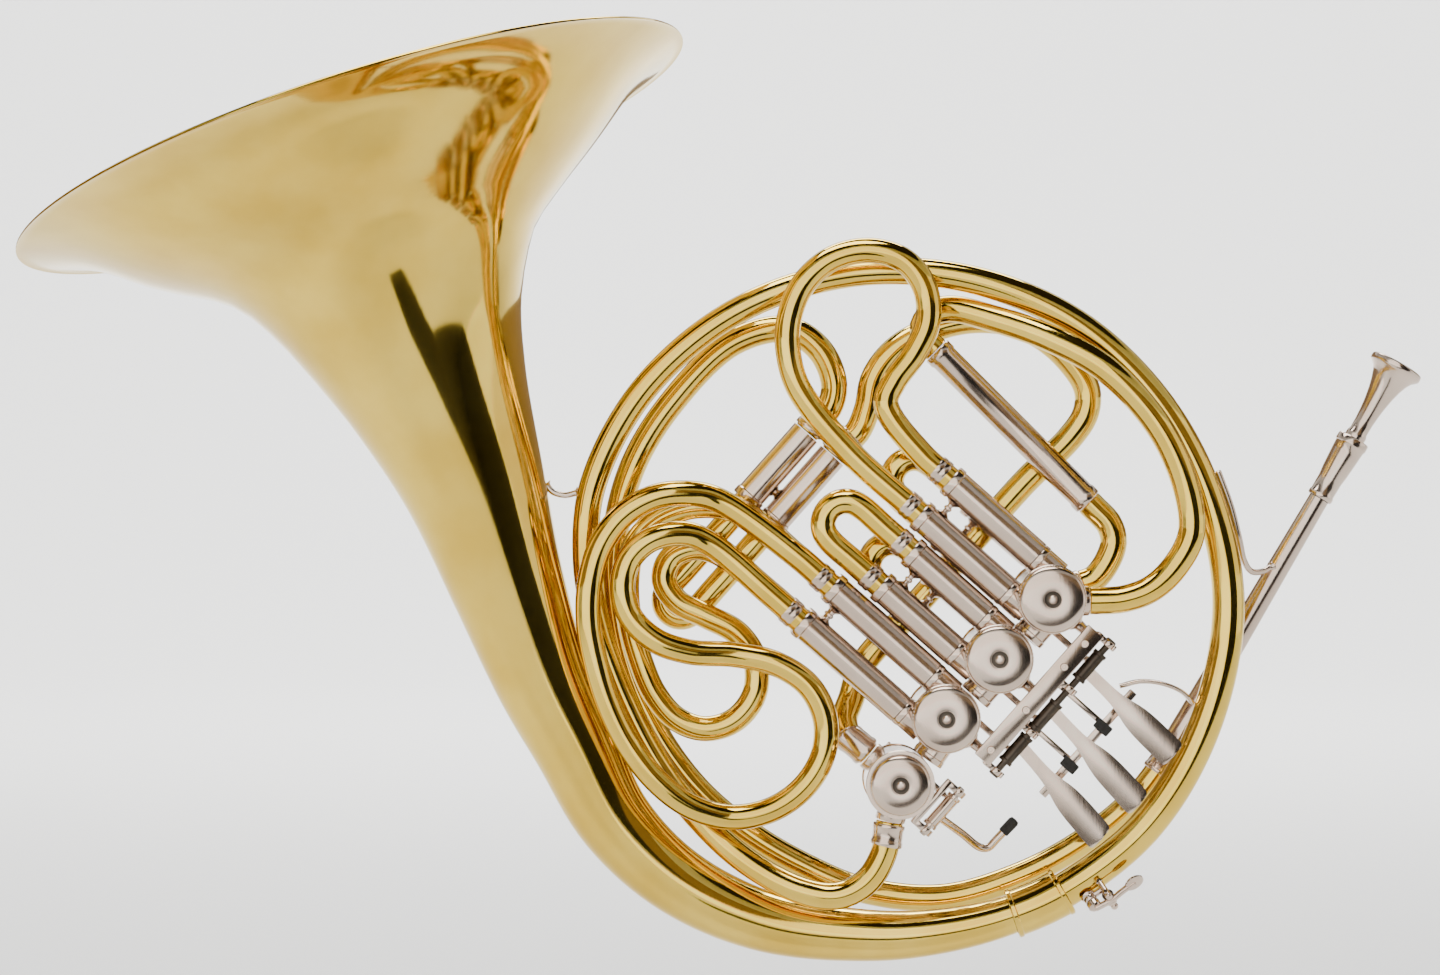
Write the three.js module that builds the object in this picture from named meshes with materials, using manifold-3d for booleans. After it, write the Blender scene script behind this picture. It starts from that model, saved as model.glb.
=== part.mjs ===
// A double French horn held as it is played, front (valve caps) towards -Y, bell to the upper left.
// Millimetres, +Z up. The tubes are laid out about the centre of the round body; the finished group is
// then moved so that the origin is the seat of the little-finger hook.
import * as THREE from 'three';
import { mergeVertices } from 'three/addons/utils/BufferGeometryUtils.js';
import Module from 'manifold-3d';

const wasm = await Module();
wasm.setup();

// ---- driving dimensions ----
const GAP = 0.3;                          // left between pieces that touch
const TUBE_R = 6.2;                       // brass tubing
const LEG_R = 5.8;                        // inner leg of a slide
const SLEEVE_IN = 6.3;                    // outer sleeve of a slide, bore
const SLEEVE_OUT = 6.95;                  // outer sleeve of a slide, outside
const FRONT = -13;                        // depth of the F side tubes
const REAR = 9;                           // depth of the B flat side tubes
const BACK = 24;                          // depth of the mouthpipe and main slide
const TUBE_SIDES = 8;

const BELL_R = 159;                       // bell mouth radius
const BELL_WALL = 1.2;
const BELL_FLARE = 50;                    // flare constant of the horn curve
const BELL_POWER = 1.09;
const BELL_LENGTH = 540;                  // along the axis, mouth to ferrule
const TAIL_START = 395;                   // where the bell becomes a plain cone
const TAIL_R = 8.2;                       // radius where the bell meets the first branch

const CASING_R = 15.5;                    // valve casing outside
const CAP_R = [14.9, 14.9, 14.9, 13.4];    // valve caps; the change valve's is smaller
const BORE_R = 13.75;                     // valve casing bore
const ROTOR_R = 13.3;
const CASING_FRONT = -26;
const CASING_BACK = 22;
const PLATE = 3;                          // thickness of the rear bearing plate
const SPINDLE_R = 2.6;
const HUB_R = 5;
const LEG_OFFSET = 10.4;                  // slide leg from the valve axis
const STUB_END = 17;                      // end of a valve's tube stubs, from its axis

const LEVER_AXIS = { along: -34.3, depth: -6 };
const THUMB_AXIS = { along: -24, depth: -2 };
const ROD_R = 1.6;
const STRING_Y = 36;                      // depth of the string bars
const STRING_R = 0.5;

const HOOK_SEAT = new THREE.Vector3(112, 0, -37);

// Unit directions in the plane of the body: along the slides, and across them along the valve line.
const LINE_ANGLE = THREE.MathUtils.degToRad(48.5);
const ACROSS = new THREE.Vector3(Math.cos(LINE_ANGLE), 0, Math.sin(LINE_ANGLE));
const ALONG = new THREE.Vector3(-Math.sin(LINE_ANGLE), 0, Math.cos(LINE_ANGLE));
const DEPTH = new THREE.Vector3(0, 1, 0);

const VALVES = [
  new THREE.Vector3(64.6, 0, 5.6),
  new THREE.Vector3(40.9, 0, -21.2),
  new THREE.Vector3(17.2, 0, -48),
  new THREE.Vector3(-3.3, 0, -77.5),
];

// ---- materials ----
const metal = (color, roughness) => new THREE.MeshStandardMaterial({ color, roughness, metalness: 1 });
const BRASS = metal(0xd9b45a, 0.16);
const NICKEL = metal(0xc9bda6, 0.22);
const STEEL = metal(0x9a948a, 0.3);
const RUBBER = new THREE.MeshStandardMaterial({ color: 0x1c1b1a, roughness: 0.8, metalness: 0 });
const CORD = new THREE.MeshStandardMaterial({ color: 0x2a2724, roughness: 0.9, metalness: 0 });

// ---- geometry helpers ----
const horn = new THREE.Group();

function place(name, geometry, material) {
  const mesh = new THREE.Mesh(geometry, material);
  mesh.name = name;
  horn.add(mesh);
  return mesh;
}

const vec = (x, y, z) => new THREE.Vector3(x, y, z);

// A point about the body's centre, at a radius and an angle from +X.
function ring(radius, degrees, depth) {
  const angle = THREE.MathUtils.degToRad(degrees);
  return vec(radius * Math.cos(angle), depth, radius * Math.sin(angle));
}

// A point given along and across the slides from a valve's axis.
function fromValve(valve, along, across, depth) {
  const p = VALVES[valve].clone().addScaledVector(ALONG, along).addScaledVector(ACROSS, across);
  p.y = depth;
  return p;
}

function smooth(points) {
  const curve = new THREE.CatmullRomCurve3(points, false, 'centripetal');
  curve.arcLengthDivisions = 1200;
  return curve;
}

// Bends a turned piece, whose Y is a distance along the curve, so that its axis follows the curve.
function bend(geometry, curve, start = 0) {
  const length = curve.getLength();
  const position = geometry.attributes.position;
  for (let i = 0; i < position.count; i += 1) {
    const u = THREE.MathUtils.clamp((start + position.getY(i)) / length, 0, 1);
    const tangent = curve.getTangentAt(u);
    const binormal = DEPTH.clone().addScaledVector(tangent, -DEPTH.dot(tangent)).normalize();
    const normal = tangent.clone().cross(binormal);
    const p = curve.getPointAt(u);
    p.addScaledVector(normal, position.getX(i)).addScaledVector(binormal, position.getZ(i));
    position.setXYZ(i, p.x, p.y, p.z);
  }
  return geometry;
}

function turned(profile, sides) {
  return new THREE.LatheGeometry(profile.map(([r, y]) => new THREE.Vector2(r, y)), sides);
}

// A solid tube along a curve; radius is a number or a function of distance. The tube starts at a distance
// along the curve, and the first and last leg of it can be straight.
function tube(curve, { from = 0, radius = TUBE_R, step = 9, sides = TUBE_SIDES, leg = 0 } = {}) {
  const at = typeof radius === 'function' ? radius : () => radius;
  const length = curve.getLength() - from;
  const bent = length - 2 * leg;
  const count = Math.max(1, Math.round(bent / step));
  const stations = Array.from({ length: count + 1 }, (_, i) => leg + (bent * i) / count);
  if (leg > 0) {
    stations.unshift(0);
    stations.push(length);
  }
  const profile = [[0, 0], ...stations.map((s) => [at(from + s), s]), [0, length]];
  return bend(turned(profile, sides), curve, from);
}

// A straight rod or cylinder between two points.
function rod(a, b, radius, sides = 12) {
  const length = a.distanceTo(b);
  const geometry = new THREE.CylinderGeometry(radius, radius, length, sides);
  geometry.rotateY(Math.PI / sides);
  return aim(geometry, a, b);
}

function aim(geometry, a, b) {
  const direction = b.clone().sub(a).normalize();
  const turn = new THREE.Quaternion().setFromUnitVectors(DEPTH, direction);
  geometry.applyQuaternion(turn);
  const middle = a.clone().add(b).multiplyScalar(0.5);
  return geometry.translate(middle.x, middle.y, middle.z);
}

// A box with sides along, across and in depth, given its limits about a valve's axis.
function block(valve, along, across, depth) {
  const size = [along, depth, across].map(([lo, hi]) => hi - lo);
  const mid = [along, across, depth].map(([lo, hi]) => (lo + hi) / 2);
  const geometry = new THREE.BoxGeometry(...size);
  const basis = new THREE.Matrix4().makeBasis(ALONG.clone().negate(), DEPTH, ACROSS.clone());
  geometry.applyMatrix4(basis);
  const p = fromValve(valve, mid[0], mid[1], mid[2]);
  return geometry.translate(p.x, p.y, p.z);
}

function solid(geometry) {
  const bare = geometry.clone();
  bare.deleteAttribute('normal');
  bare.deleteAttribute('uv');
  const merged = mergeVertices(bare, 1e-4);
  const vertProperties = new Float32Array(merged.attributes.position.array);
  const triVerts = new Uint32Array(merged.index.array);
  return new wasm.Manifold(new wasm.Mesh({ numProp: 3, vertProperties, triVerts }));
}

function fromSolid(manifold) {
  const mesh = manifold.getMesh();
  const geometry = new THREE.BufferGeometry();
  geometry.setAttribute('position', new THREE.BufferAttribute(Float32Array.from(mesh.vertProperties), 3));
  geometry.setIndex(new THREE.BufferAttribute(Uint32Array.from(mesh.triVerts), 1));
  return geometry;
}

function combine(add, cut = []) {
  const joined = add.map(solid).reduce((a, b) => a.add(b));
  return fromSolid(cut.map(solid).reduce((a, b) => a.subtract(b), joined));
}

// ---- bell, ferrule and first branch: one long air way from the mouth to the change valve ----
const AIR_WAY = smooth([
  vec(-251.9, 9.3, 210), vec(-245.5, 7.6, 191.3), vec(-239.2, 6, 172.8), vec(-232.4, 4.5, 152),
  vec(-224, 3.5, 128), vec(-212.5, 3, 99), vec(-197, 3, 60), vec(-181, 3, 12), vec(-165, 3, -31),
  ring(162, 202, 3), ring(163, 216, 3), ring(161, 230, 3), ring(155.5, 246, 3), ring(149, 264, 2),
  ring(147, 276, 1), ring(146.5, 288, 0), ring(146.5, 300, 0), ring(147, 318, 0), ring(146, 338, 0),
  ring(147, 0, 0), ring(147, 20, 0), ring(149, 40, 1), ring(152, 60, 2), ring(153.5, 80, 2.5),
  ring(155, 100, 3), ring(156, 120, 3), ring(155.5, 140, 3), ring(153, 158, 3), ring(147, 171, 3),
  ring(139.5, 184, 3), ring(134, 198, 3), ring(132.5, 212, 3), ring(133, 225, 1.5), ring(134.5, 237, -5),
  ring(135, 249, -12), vec(-31, FRONT, -128.5), vec(-18, FRONT, -122), vec(-10.5, FRONT, -110),
  vec(-7.6, FRONT, -95),
]);

function bellRadius(s) {
  const swell = s < 60 ? 1 + 0.12 * Math.sin((Math.PI * s) / 60) ** 2 : 1;
  const curve = BELL_R * (BELL_FLARE / (s + BELL_FLARE)) ** BELL_POWER * swell;
  if (s < TAIL_START) return curve;
  const wide = BELL_R * (BELL_FLARE / (TAIL_START + BELL_FLARE)) ** BELL_POWER;
  return THREE.MathUtils.lerp(wide, TAIL_R, (s - TAIL_START) / (BELL_LENGTH - TAIL_START));
}

function addBell() {
  const stations = [1.5, 6, 14, 26, 40, 58, 82, 114, 154, 202, 250, 295, 340, 390, 440, 486, 514];
  const outside = [[BELL_R, 0], ...stations.map((s) => [bellRadius(s), s]), [TAIL_R, BELL_LENGTH]];
  const inside = stations.slice(1).map((s) => {
    const slope = bellRadius(s + 0.5) - bellRadius(s - 0.5);
    const tilt = Math.hypot(1, slope);
    return [bellRadius(s) - BELL_WALL / tilt, s + (BELL_WALL * slope) / tilt];
  });
  const mouth = [BELL_R - 4, 0];
  const profile = [...outside, [TAIL_R - BELL_WALL, BELL_LENGTH], ...inside.reverse(), mouth, outside[0]];
  place('bell', bend(turned(profile, 24), AIR_WAY), BRASS);
}

function addFirstBranch() {
  const start = BELL_LENGTH + GAP;
  const radius = (s) => THREE.MathUtils.lerp(TAIL_R, TUBE_R, Math.min(1, (s - start) / 420));
  place('first_branch', tube(AIR_WAY, { from: start, radius, step: 24 }), BRASS);
  const half = 13;
  const inner = TAIL_R + 1.3;
  const outer = inner + 1.3;
  const ferrule = [[inner, -half], [outer, -half], [outer, half], [inner, half], [inner, -half]];
  place('bell_ferrule', bend(turned(ferrule, 16), AIR_WAY, BELL_LENGTH), NICKEL);
}

// ---- mouthpipe: mouthpiece, receiver, straight pipe, then round the body to the main slide ----
const PIPE_START = vec(124, BACK, -65);
const PIPE_DIRECTION = vec(0.507, 0, 0.862).normalize();
const alongPipe = (distance) => PIPE_START.clone().addScaledVector(PIPE_DIRECTION, distance);
const PIPE_END = 134;
const RECEIVER_END = 166;
const PIECE_START = 146;
const PIECE_LENGTH = 60;

// Turns a profile whose Y is a distance along the straight mouthpipe.
function onPipe(profile, sides) {
  const geometry = turned(profile, sides);
  const turn = new THREE.Quaternion().setFromUnitVectors(DEPTH, PIPE_DIRECTION);
  return geometry.applyQuaternion(turn).translate(PIPE_START.x, PIPE_START.y, PIPE_START.z);
}

function addMouthpipe() {
  place('mouthpipe', onPipe([[0, GAP], [TUBE_R, GAP], [4.7, PIPE_END], [0, PIPE_END]], 12), NICKEL);
  const from = PIPE_END + GAP;
  const receiver = [
    [4.9, from], [5.6, from], [6.2, from + 3], [6.2, from + 12], [6.9, from + 24], [7.4, RECEIVER_END - 1],
    [7.4, RECEIVER_END], [5.4, RECEIVER_END], [4.9, from],
  ];
  place('mouthpipe_receiver', onPipe(receiver, 12), NICKEL);
}

function addMouthpiece() {
  const s = PIECE_START;
  const end = s + PIECE_LENGTH;
  const profile = [
    [2.6, s], [4.2, s], [4.9, s + 22], [4.3, s + 24], [5.6, s + 40], [7.8, s + 50], [9.6, s + 55],
    [12.4, s + 56.5], [12.6, end - 1], [11.8, end], [9.4, end], [8.6, end - 3], [5.2, s + 44], [2.4, s + 33],
    [2.6, s],
  ];
  place('mouthpiece', onPipe(profile, 16), NICKEL);
}

const MAIN_OUTER = 131.6;                 // distance of the main slide's legs from the valve line
const MAIN_INNER = 115.6;
const MAIN_TOP = 20;                      // where the main slide's sleeves start, across the slides
const mainPoint = (along, across) => fromValve(1, along, across, BACK);

function addLeadpipeBranch() {
  const curve = smooth([
    PIPE_START.clone(), alongPipe(-6), ring(138.7, -39, BACK), ring(136, -52, BACK), ring(134.5, -66, BACK),
    ring(134.5, -82, BACK), ring(131, -98, BACK), ring(127, -111, BACK), ring(125.5, -124, BACK),
    ring(126, -138, BACK), ring(127, -152, BACK), ring(129, -166, BACK), ring(132, 180, BACK),
    ring(136.5, 166, BACK), ring(140.5, 152, BACK), ring(142.5, 138, BACK), vec(-78, BACK, 122.5),
    vec(-53, BACK, 128.5), vec(-38, BACK, 119), vec(-31.5, BACK, 103), vec(-34, BACK, 92),
    mainPoint(MAIN_OUTER, MAIN_TOP + 5), mainPoint(MAIN_OUTER, MAIN_TOP + GAP),
  ]);
  place('leadpipe_branch', tube(curve, { step: 19 }), BRASS);
}

// ---- main tuning slide, behind the valve slides and parallel with the valve line ----
const MAIN_BOW = -76;                     // centre of the main slide's bow, across the slides
const SLEEVE_LENGTH_MAIN = 42;

function sleevePair(a, b, direction, length, brace) {
  const outer = [a, b].map((p) => rod(p, p.clone().addScaledVector(direction, length), SLEEVE_OUT, 10));
  const inner = [a, b].map((p) => rod(
    p.clone().addScaledVector(direction, -1),
    p.clone().addScaledVector(direction, length + 1),
    SLEEVE_IN,
    10,
  ));
  const mid = [a, b].map((p) => p.clone().addScaledVector(direction, brace));
  const bar = rod(mid[0], mid[1], 1.8, 6);
  return combine([...outer, bar], inner);
}

function addMainSlide() {
  const down = ACROSS.clone().negate();
  const starts = [MAIN_OUTER, MAIN_INNER].map((along) => mainPoint(along, MAIN_TOP));
  place('main_slide_sleeves', sleevePair(starts[0], starts[1], down, SLEEVE_LENGTH_MAIN, 30), NICKEL);
  const bow = (MAIN_OUTER - MAIN_INNER) / 2;
  const middle = (MAIN_OUTER + MAIN_INNER) / 2;
  const points = [mainPoint(MAIN_OUTER, MAIN_TOP - 4), mainPoint(MAIN_OUTER, MAIN_BOW + 12)];
  for (let i = 0; i <= 6; i += 1) {
    const angle = (Math.PI * i) / 6;
    points.push(mainPoint(middle + bow * Math.cos(angle), MAIN_BOW - bow * Math.sin(angle)));
  }
  points.push(mainPoint(MAIN_INNER, MAIN_BOW + 12), mainPoint(MAIN_INNER, MAIN_TOP - 4));
  const curve = smooth(points);
  place('main_tuning_slide', tube(curve, { radius: LEG_R, step: 6, leg: 89 }), BRASS);
}

// ---- feed from the main slide, over the top right and down behind the slides to the change valve ----
const FEED_ALONG = 41;

function addChangeValveFeed() {
  const curve = smooth([
    mainPoint(MAIN_INNER, MAIN_TOP + GAP), mainPoint(MAIN_INNER, MAIN_TOP + 5), vec(-21, BACK, 81),
    vec(-16.2, BACK, 92), vec(-13.2, BACK, 106), vec(-4, BACK, 118.5), vec(11, BACK, 127.5),
    vec(29, BACK, 132.5), vec(47, BACK, 132),
    vec(63, BACK, 126), vec(77, BACK, 114), vec(85, BACK, 101), vec(84.5, BACK, 90), vec(77.5, BACK, 79),
    mainPoint(FEED_ALONG, 70), mainPoint(FEED_ALONG, 30), mainPoint(FEED_ALONG, -10),
    mainPoint(FEED_ALONG, -44), vec(-23.5, 22.5, -41), vec(-27, 17.5, -51), vec(-25, 12, -58.5),
    fromValve(3, STUB_END + 7, 0, REAR), fromValve(3, STUB_END + GAP + 0.2, 0, REAR),
  ]);
  place('change_valve_feed', tube(curve, { step: 15 }), BRASS);
}

// ---- F branch: from the first valve round the upper right and back to the first valve ----
const STRAIGHT_TOP = vec(15, REAR, 118.2);
const STRAIGHT_FOOT = vec(84, REAR, 49.2);
const STRAIGHT = STRAIGHT_FOOT.clone().sub(STRAIGHT_TOP).normalize();

function addFBranch() {
  const upper = smooth([
    vec(82.6, FRONT, 4.6), vec(87, FRONT, 4.6), vec(98, FRONT, 5.4), vec(110.5, FRONT, 10),
    vec(121.5, FRONT, 20.5), vec(128.5, FRONT, 35), ring(138, 24, FRONT), ring(141, 36, FRONT),
    ring(141.5, 50, FRONT + 1), ring(139.5, 62, FRONT + 7), ring(138.5, 73, 2), vec(21, 7.5, 137.2),
    vec(12.5, REAR, 135), vec(8.5, REAR, 128.5), vec(11.1, REAR, 122.1),
    STRAIGHT_TOP.clone().addScaledVector(STRAIGHT, -GAP),
  ]);
  place('f_branch_ring', tube(upper, { step: 13 }), BRASS);
  place('f_branch_straight', rod(STRAIGHT_FOOT, STRAIGHT_TOP, SLEEVE_OUT, 10), NICKEL);
  const crook = smooth([
    STRAIGHT_FOOT.clone().addScaledVector(STRAIGHT, GAP), STRAIGHT_FOOT.clone().addScaledVector(STRAIGHT, 5),
    vec(93.5, REAR, 39.2), vec(95.8, REAR, 31),
    vec(92.4, REAR, 21), vec(86.5, REAR, 13.8), vec(81.3, REAR, 11.7),
  ]);
  place('f_branch_crook', tube(crook, { step: 7 }), BRASS);
}

// ---- valves ----
function onAxis(valve, y0, y1, radius, sides) {
  const p = VALVES[valve];
  return rod(vec(p.x, y0, p.z), vec(p.x, y1, p.z), radius, sides);
}

function stubs(valve) {
  const list = [];
  for (const depth of [FRONT, REAR]) {
    if (valve < 3) {
      for (const side of [-LEG_OFFSET, LEG_OFFSET]) {
        list.push([fromValve(valve, 4, side, depth), fromValve(valve, STUB_END, side, depth)]);
      }
      const next = VALVES[valve + 1].clone().setY(depth);
      const here = VALVES[valve].clone().setY(depth);
      const toNext = next.clone().sub(here);
      const reach = toNext.length() - CASING_R - GAP;
      toNext.normalize();
      const aside = vec(-toNext.z, 0, toNext.x).multiplyScalar(5);
      const a = here.clone().add(aside).addScaledVector(toNext, 8);
      const b = here.clone().add(aside).addScaledVector(toNext, reach);
      list.push([a, b]);
    }
  }
  if (valve === 0) {
    list.push([VALVES[0].clone().setY(FRONT).add(vec(5, 0, -1)), vec(82.3, FRONT, 4.6)]);
    list.push([VALVES[0].clone().setY(REAR).add(vec(5, 0, 2)), vec(81, REAR, 11.5)]);
  }
  if (valve === 3) {
    list.push([fromValve(3, 5, 0, REAR), fromValve(3, STUB_END, 0, REAR)]);
    list.push([vec(-4.5, FRONT, -82), vec(-7.5, FRONT, -94.7)]);
  }
  return list;
}

function addValve(valve) {
  const name = `valve_${valve + 1}`;
  const ends = stubs(valve);
  const add = [
    onAxis(valve, CASING_FRONT, CASING_BACK, CASING_R, 16),
    onAxis(valve, CASING_BACK - 1, CASING_BACK + 2.5, 6, 10),
    ...ends.map(([a, b]) => rod(a, b, TUBE_R + 0.3, 8)),
  ];
  const cut = [
    onAxis(valve, CASING_FRONT - 1, CASING_BACK - PLATE, BORE_R, 16),
    onAxis(valve, 0, CASING_BACK + 4, SPINDLE_R + 0.4, 10),
  ];
  place(`${name}_casing`, combine(add, cut), NICKEL);
  const p = VALVES[valve];
  const rim = CAP_R[valve];
  const cap = [
    [0, -4.6], [4.6, -4.6], [4.6, -3.4], [rim - 2.5, -3.4], [rim, -1.4], [rim, 2.6], [0, 2.6],
  ];
  const capGeometry = turned(cap, 16).translate(p.x, CASING_FRONT - GAP - 2.6, p.z);
  place(`${name}_cap`, capGeometry, NICKEL);
  addRotor(valve, name);
}

// The rotor turns in the casing; each level carries two curved ways cut in its sides.
function addRotor(valve, name) {
  const front = CASING_FRONT + GAP;
  const back = CASING_BACK - PLATE - GAP;
  const ways = [];
  for (const depth of [FRONT, REAR]) {
    for (const side of [-1, 1]) {
      const a = fromValve(valve, -16, side * 14, depth);
      const b = fromValve(valve, 16, side * 14, depth);
      ways.push(rod(a, b, TUBE_R - 1.2, 6));
    }
  }
  const body = [
    onAxis(valve, front, back, ROTOR_R, 16),
    onAxis(valve, back - 1, CASING_BACK + 4.5, SPINDLE_R, 8),
  ];
  place(`${name}_rotor`, combine(body, ways), STEEL);
  addHub(valve, name);
}

// Which side of its hub each string runs, across the slides.
const STRING_SIDE = [-1, -1, 1, 1];
const HUB_FRONT = CASING_BACK + 4.5 + GAP;
const HUB_BACK = HUB_FRONT + 14.5;

function addHub(valve, name) {
  const p = VALVES[valve];
  const hub = turned([
    [0, HUB_FRONT], [HUB_R + 0.8, HUB_FRONT], [HUB_R, HUB_FRONT + 2], [HUB_R, HUB_BACK], [0, HUB_BACK],
  ], 12).translate(p.x, 0, p.z);
  const side = -STRING_SIDE[valve];
  const along = valve < 3 ? 7.5 : -7.5;
  const tip = fromValve(valve, along, side * 7.5, HUB_FRONT + 1.2);
  const root = vec(p.x, HUB_FRONT + 1.2, p.z);
  const arm = rod(root, tip, 1.15, 6);
  place(`${name}_stop_arm`, combine([hub, arm]), STEEL);
}

// ---- valve slides ----
const SLIDES = {
  f1: { valve: 0, depth: FRONT, sleeve: 52 },
  f2: { valve: 1, depth: FRONT, sleeve: 44 },
  f3: { valve: 2, depth: FRONT, sleeve: 60 },
  bb1: { valve: 0, depth: REAR, sleeve: 38 },
  bb2: { valve: 1, depth: REAR, sleeve: 30 },
  bb3: { valve: 2, depth: REAR, sleeve: 60 },
};

const OMEGA = [
  vec(-9.2, FRONT, 93), vec(-5.5, FRONT, 103.5), vec(3.5, FRONT, 116), vec(9.7, FRONT, 130.5),
  vec(8.2, FRONT, 146), vec(-1, FRONT, 158), vec(-17.2, FRONT, 162.6), vec(-34.2, FRONT, 158.5),
  vec(-46.8, FRONT, 147), vec(-53, FRONT, 131.4), vec(-53.2, FRONT, 115.5), vec(-48.3, FRONT, 99.8),
];

const KIDNEY = [
  vec(-84.5, FRONT, 49.8), vec(-97.7, FRONT - 3, 53), vec(-113.5, FRONT - 5, 51.4),
  vec(-127.6, FRONT - 5, 43.3), vec(-137.7, FRONT - 5, 29.7), vec(-142.6, FRONT - 5, 13),
  vec(-143.2, FRONT - 5, -5), vec(-140, FRONT - 5, -23), vec(-134.5, FRONT - 5, -41),
  vec(-125.5, FRONT - 5, -59.5), vec(-112.3, FRONT - 5, -76.5), vec(-97, FRONT - 3, -88),
  vec(-79.6, FRONT, -93), vec(-61.8, FRONT, -90), vec(-47, FRONT, -80.2), vec(-37.8, FRONT, -65.4),
  vec(-36.7, FRONT, -48.7), vec(-44, FRONT, -33.8), vec(-59, FRONT, -23.8), vec(-77.3, FRONT, -19.8),
  vec(-97.7, FRONT - 3, -18.4), vec(-113.3, FRONT - 5, -13), vec(-124.3, FRONT - 5, -2.5),
  vec(-128, FRONT - 5, 10.6), vec(-125, FRONT - 5, 23), vec(-115.8, FRONT - 5, 32),
  vec(-102.2, FRONT - 3, 35), vec(-89.8, FRONT, 31.2),
];

const NESTED = [
  vec(-70.5, REAR, 42.4), vec(-84, REAR, 47), vec(-99, REAR, 46.5), vec(-113, REAR, 40.5),
  vec(-123.5, REAR, 29), vec(-127.5, REAR, 13.4), vec(-126.5, REAR, -5), vec(-121.5, REAR, -23),
  vec(-114, REAR, -38.5), vec(-104, REAR, -50), vec(-91, REAR, -54.6), vec(-77.5, REAR, -50.6),
  vec(-68.5, REAR, -39), vec(-68, REAR, -23.4), vec(-76.2, REAR, -10.8), vec(-90.6, REAR, -3),
  vec(-103.6, REAR, 3.6), vec(-109.8, REAR, 14), vec(-106, REAR, 24), vec(-95.5, REAR, 28.2),
  vec(-84.5, REAR, 25.6),
];

// The bow of a plain slide is half a circle between its two legs.
function roundBow(valve, centre, depth) {
  const points = [];
  for (let i = 0; i <= 6; i += 1) {
    const angle = (Math.PI * i) / 6;
    points.push(fromValve(valve, centre + LEG_OFFSET * Math.sin(angle), LEG_OFFSET * Math.cos(angle), depth));
  }
  return points;
}

function addSlide(key, crook, legs, step) {
  const { valve, depth, sleeve } = SLIDES[key];
  const feet = [LEG_OFFSET, -LEG_OFFSET].map((across) => fromValve(valve, STUB_END + GAP, across, depth));
  place(`${key}_sleeves`, sleevePair(feet[0], feet[1], ALONG, sleeve, sleeve - 8), NICKEL);
  const inside = STUB_END + 6;
  const straight = [inside, STUB_END + sleeve - 1, STUB_END + sleeve + 4];
  const points = [
    ...straight.map((along) => fromValve(valve, along, LEG_OFFSET, depth)),
    fromValve(valve, legs[0], LEG_OFFSET, depth), ...crook, fromValve(valve, legs[1], -LEG_OFFSET, depth),
    ...straight.reverse().map((along) => fromValve(valve, along, -LEG_OFFSET, depth)),
  ];
  const curve = smooth(points);
  place(`${key}_slide`, tube(curve, { radius: LEG_R, step, leg: sleeve - 2 }), BRASS);
}

// ---- finger levers ----
const LEVERS = [
  { root: 22.5, tip: 20, reach: -90, crank: 27.3 },
  { root: -1.5, tip: -7, reach: -93, crank: -8.5 },
  { root: -23, tip: -30, reach: -90.5, crank: -27.3 },
];
const LEVER_THICK = 1.8;
const BAR = 1.5;                          // half width of the string bars
const BAR_END = 12;                       // how far a string bar runs past its hub
const STRING_CLEAR = HUB_R + STRING_R + 0.25;

// A flat blade seen from the front: a narrow arm that widens into a rounded touch piece.
function blade(valve, root, tip, start, reach, depth) {
  const narrow = 2.2;
  const wide = 6.8;
  const at = (along) => THREE.MathUtils.lerp(root, tip, (along - start) / (reach - start));
  const neck = THREE.MathUtils.lerp(start, reach, 0.42);
  const palm = THREE.MathUtils.lerp(start, reach, 0.6);
  const outline = [[start, at(start) - narrow], [neck, at(neck) - narrow], [palm, at(palm) - wide]];
  for (let i = 0; i <= 6; i += 1) {
    const angle = -Math.PI / 2 + (Math.PI * i) / 6;
    outline.push([reach + wide - wide * Math.cos(angle), tip + wide * Math.sin(angle)]);
  }
  outline.push([palm, at(palm) + wide], [neck, at(neck) + narrow], [start, at(start) + narrow]);
  const shape = new THREE.Shape(outline.map(([a, b]) => new THREE.Vector2(a, b)));
  const geometry = new THREE.ExtrudeGeometry(shape, { depth: LEVER_THICK, bevelEnabled: false });
  const basis = new THREE.Matrix4().makeBasis(ALONG, ACROSS, DEPTH);
  geometry.applyMatrix4(basis);
  const p = VALVES[valve];
  return geometry.translate(p.x, depth - LEVER_THICK / 2, p.z);
}

// Shaft sleeve, crank to the rear and string bar beside the hub; shared by all four levers.
function crankPieces(valve, axis, crankAcross) {
  const offset = axis.along;
  const top = STRING_Y + BAR;
  return [
    block(valve, [offset - BAR, offset + BAR], [crankAcross - BAR, crankAcross + BAR], [axis.depth + 2, top]),
    block(valve, [offset - BAR, BAR_END], [crankAcross - BAR, crankAcross + BAR],
      [STRING_Y - BAR, top]),
  ];
}

function pegs(valve, crankAcross, side, centre, ends) {
  const near = centre + side * (STRING_CLEAR + STRING_R + GAP);
  const lo = Math.min(near, crankAcross);
  const hi = Math.max(near, crankAcross);
  return ends.map((along) => block(valve, [along - 1, along + 1], [lo, hi], [STRING_Y - 1, STRING_Y + 1]));
}

function addString(name, valve, side, centre, ends) {
  const across = centre + side * STRING_CLEAR;
  const a = fromValve(valve, ends[0], across, STRING_Y);
  const b = fromValve(valve, ends[1], across, STRING_Y);
  place(name, rod(a, b, STRING_R, 6), CORD);
}

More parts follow.
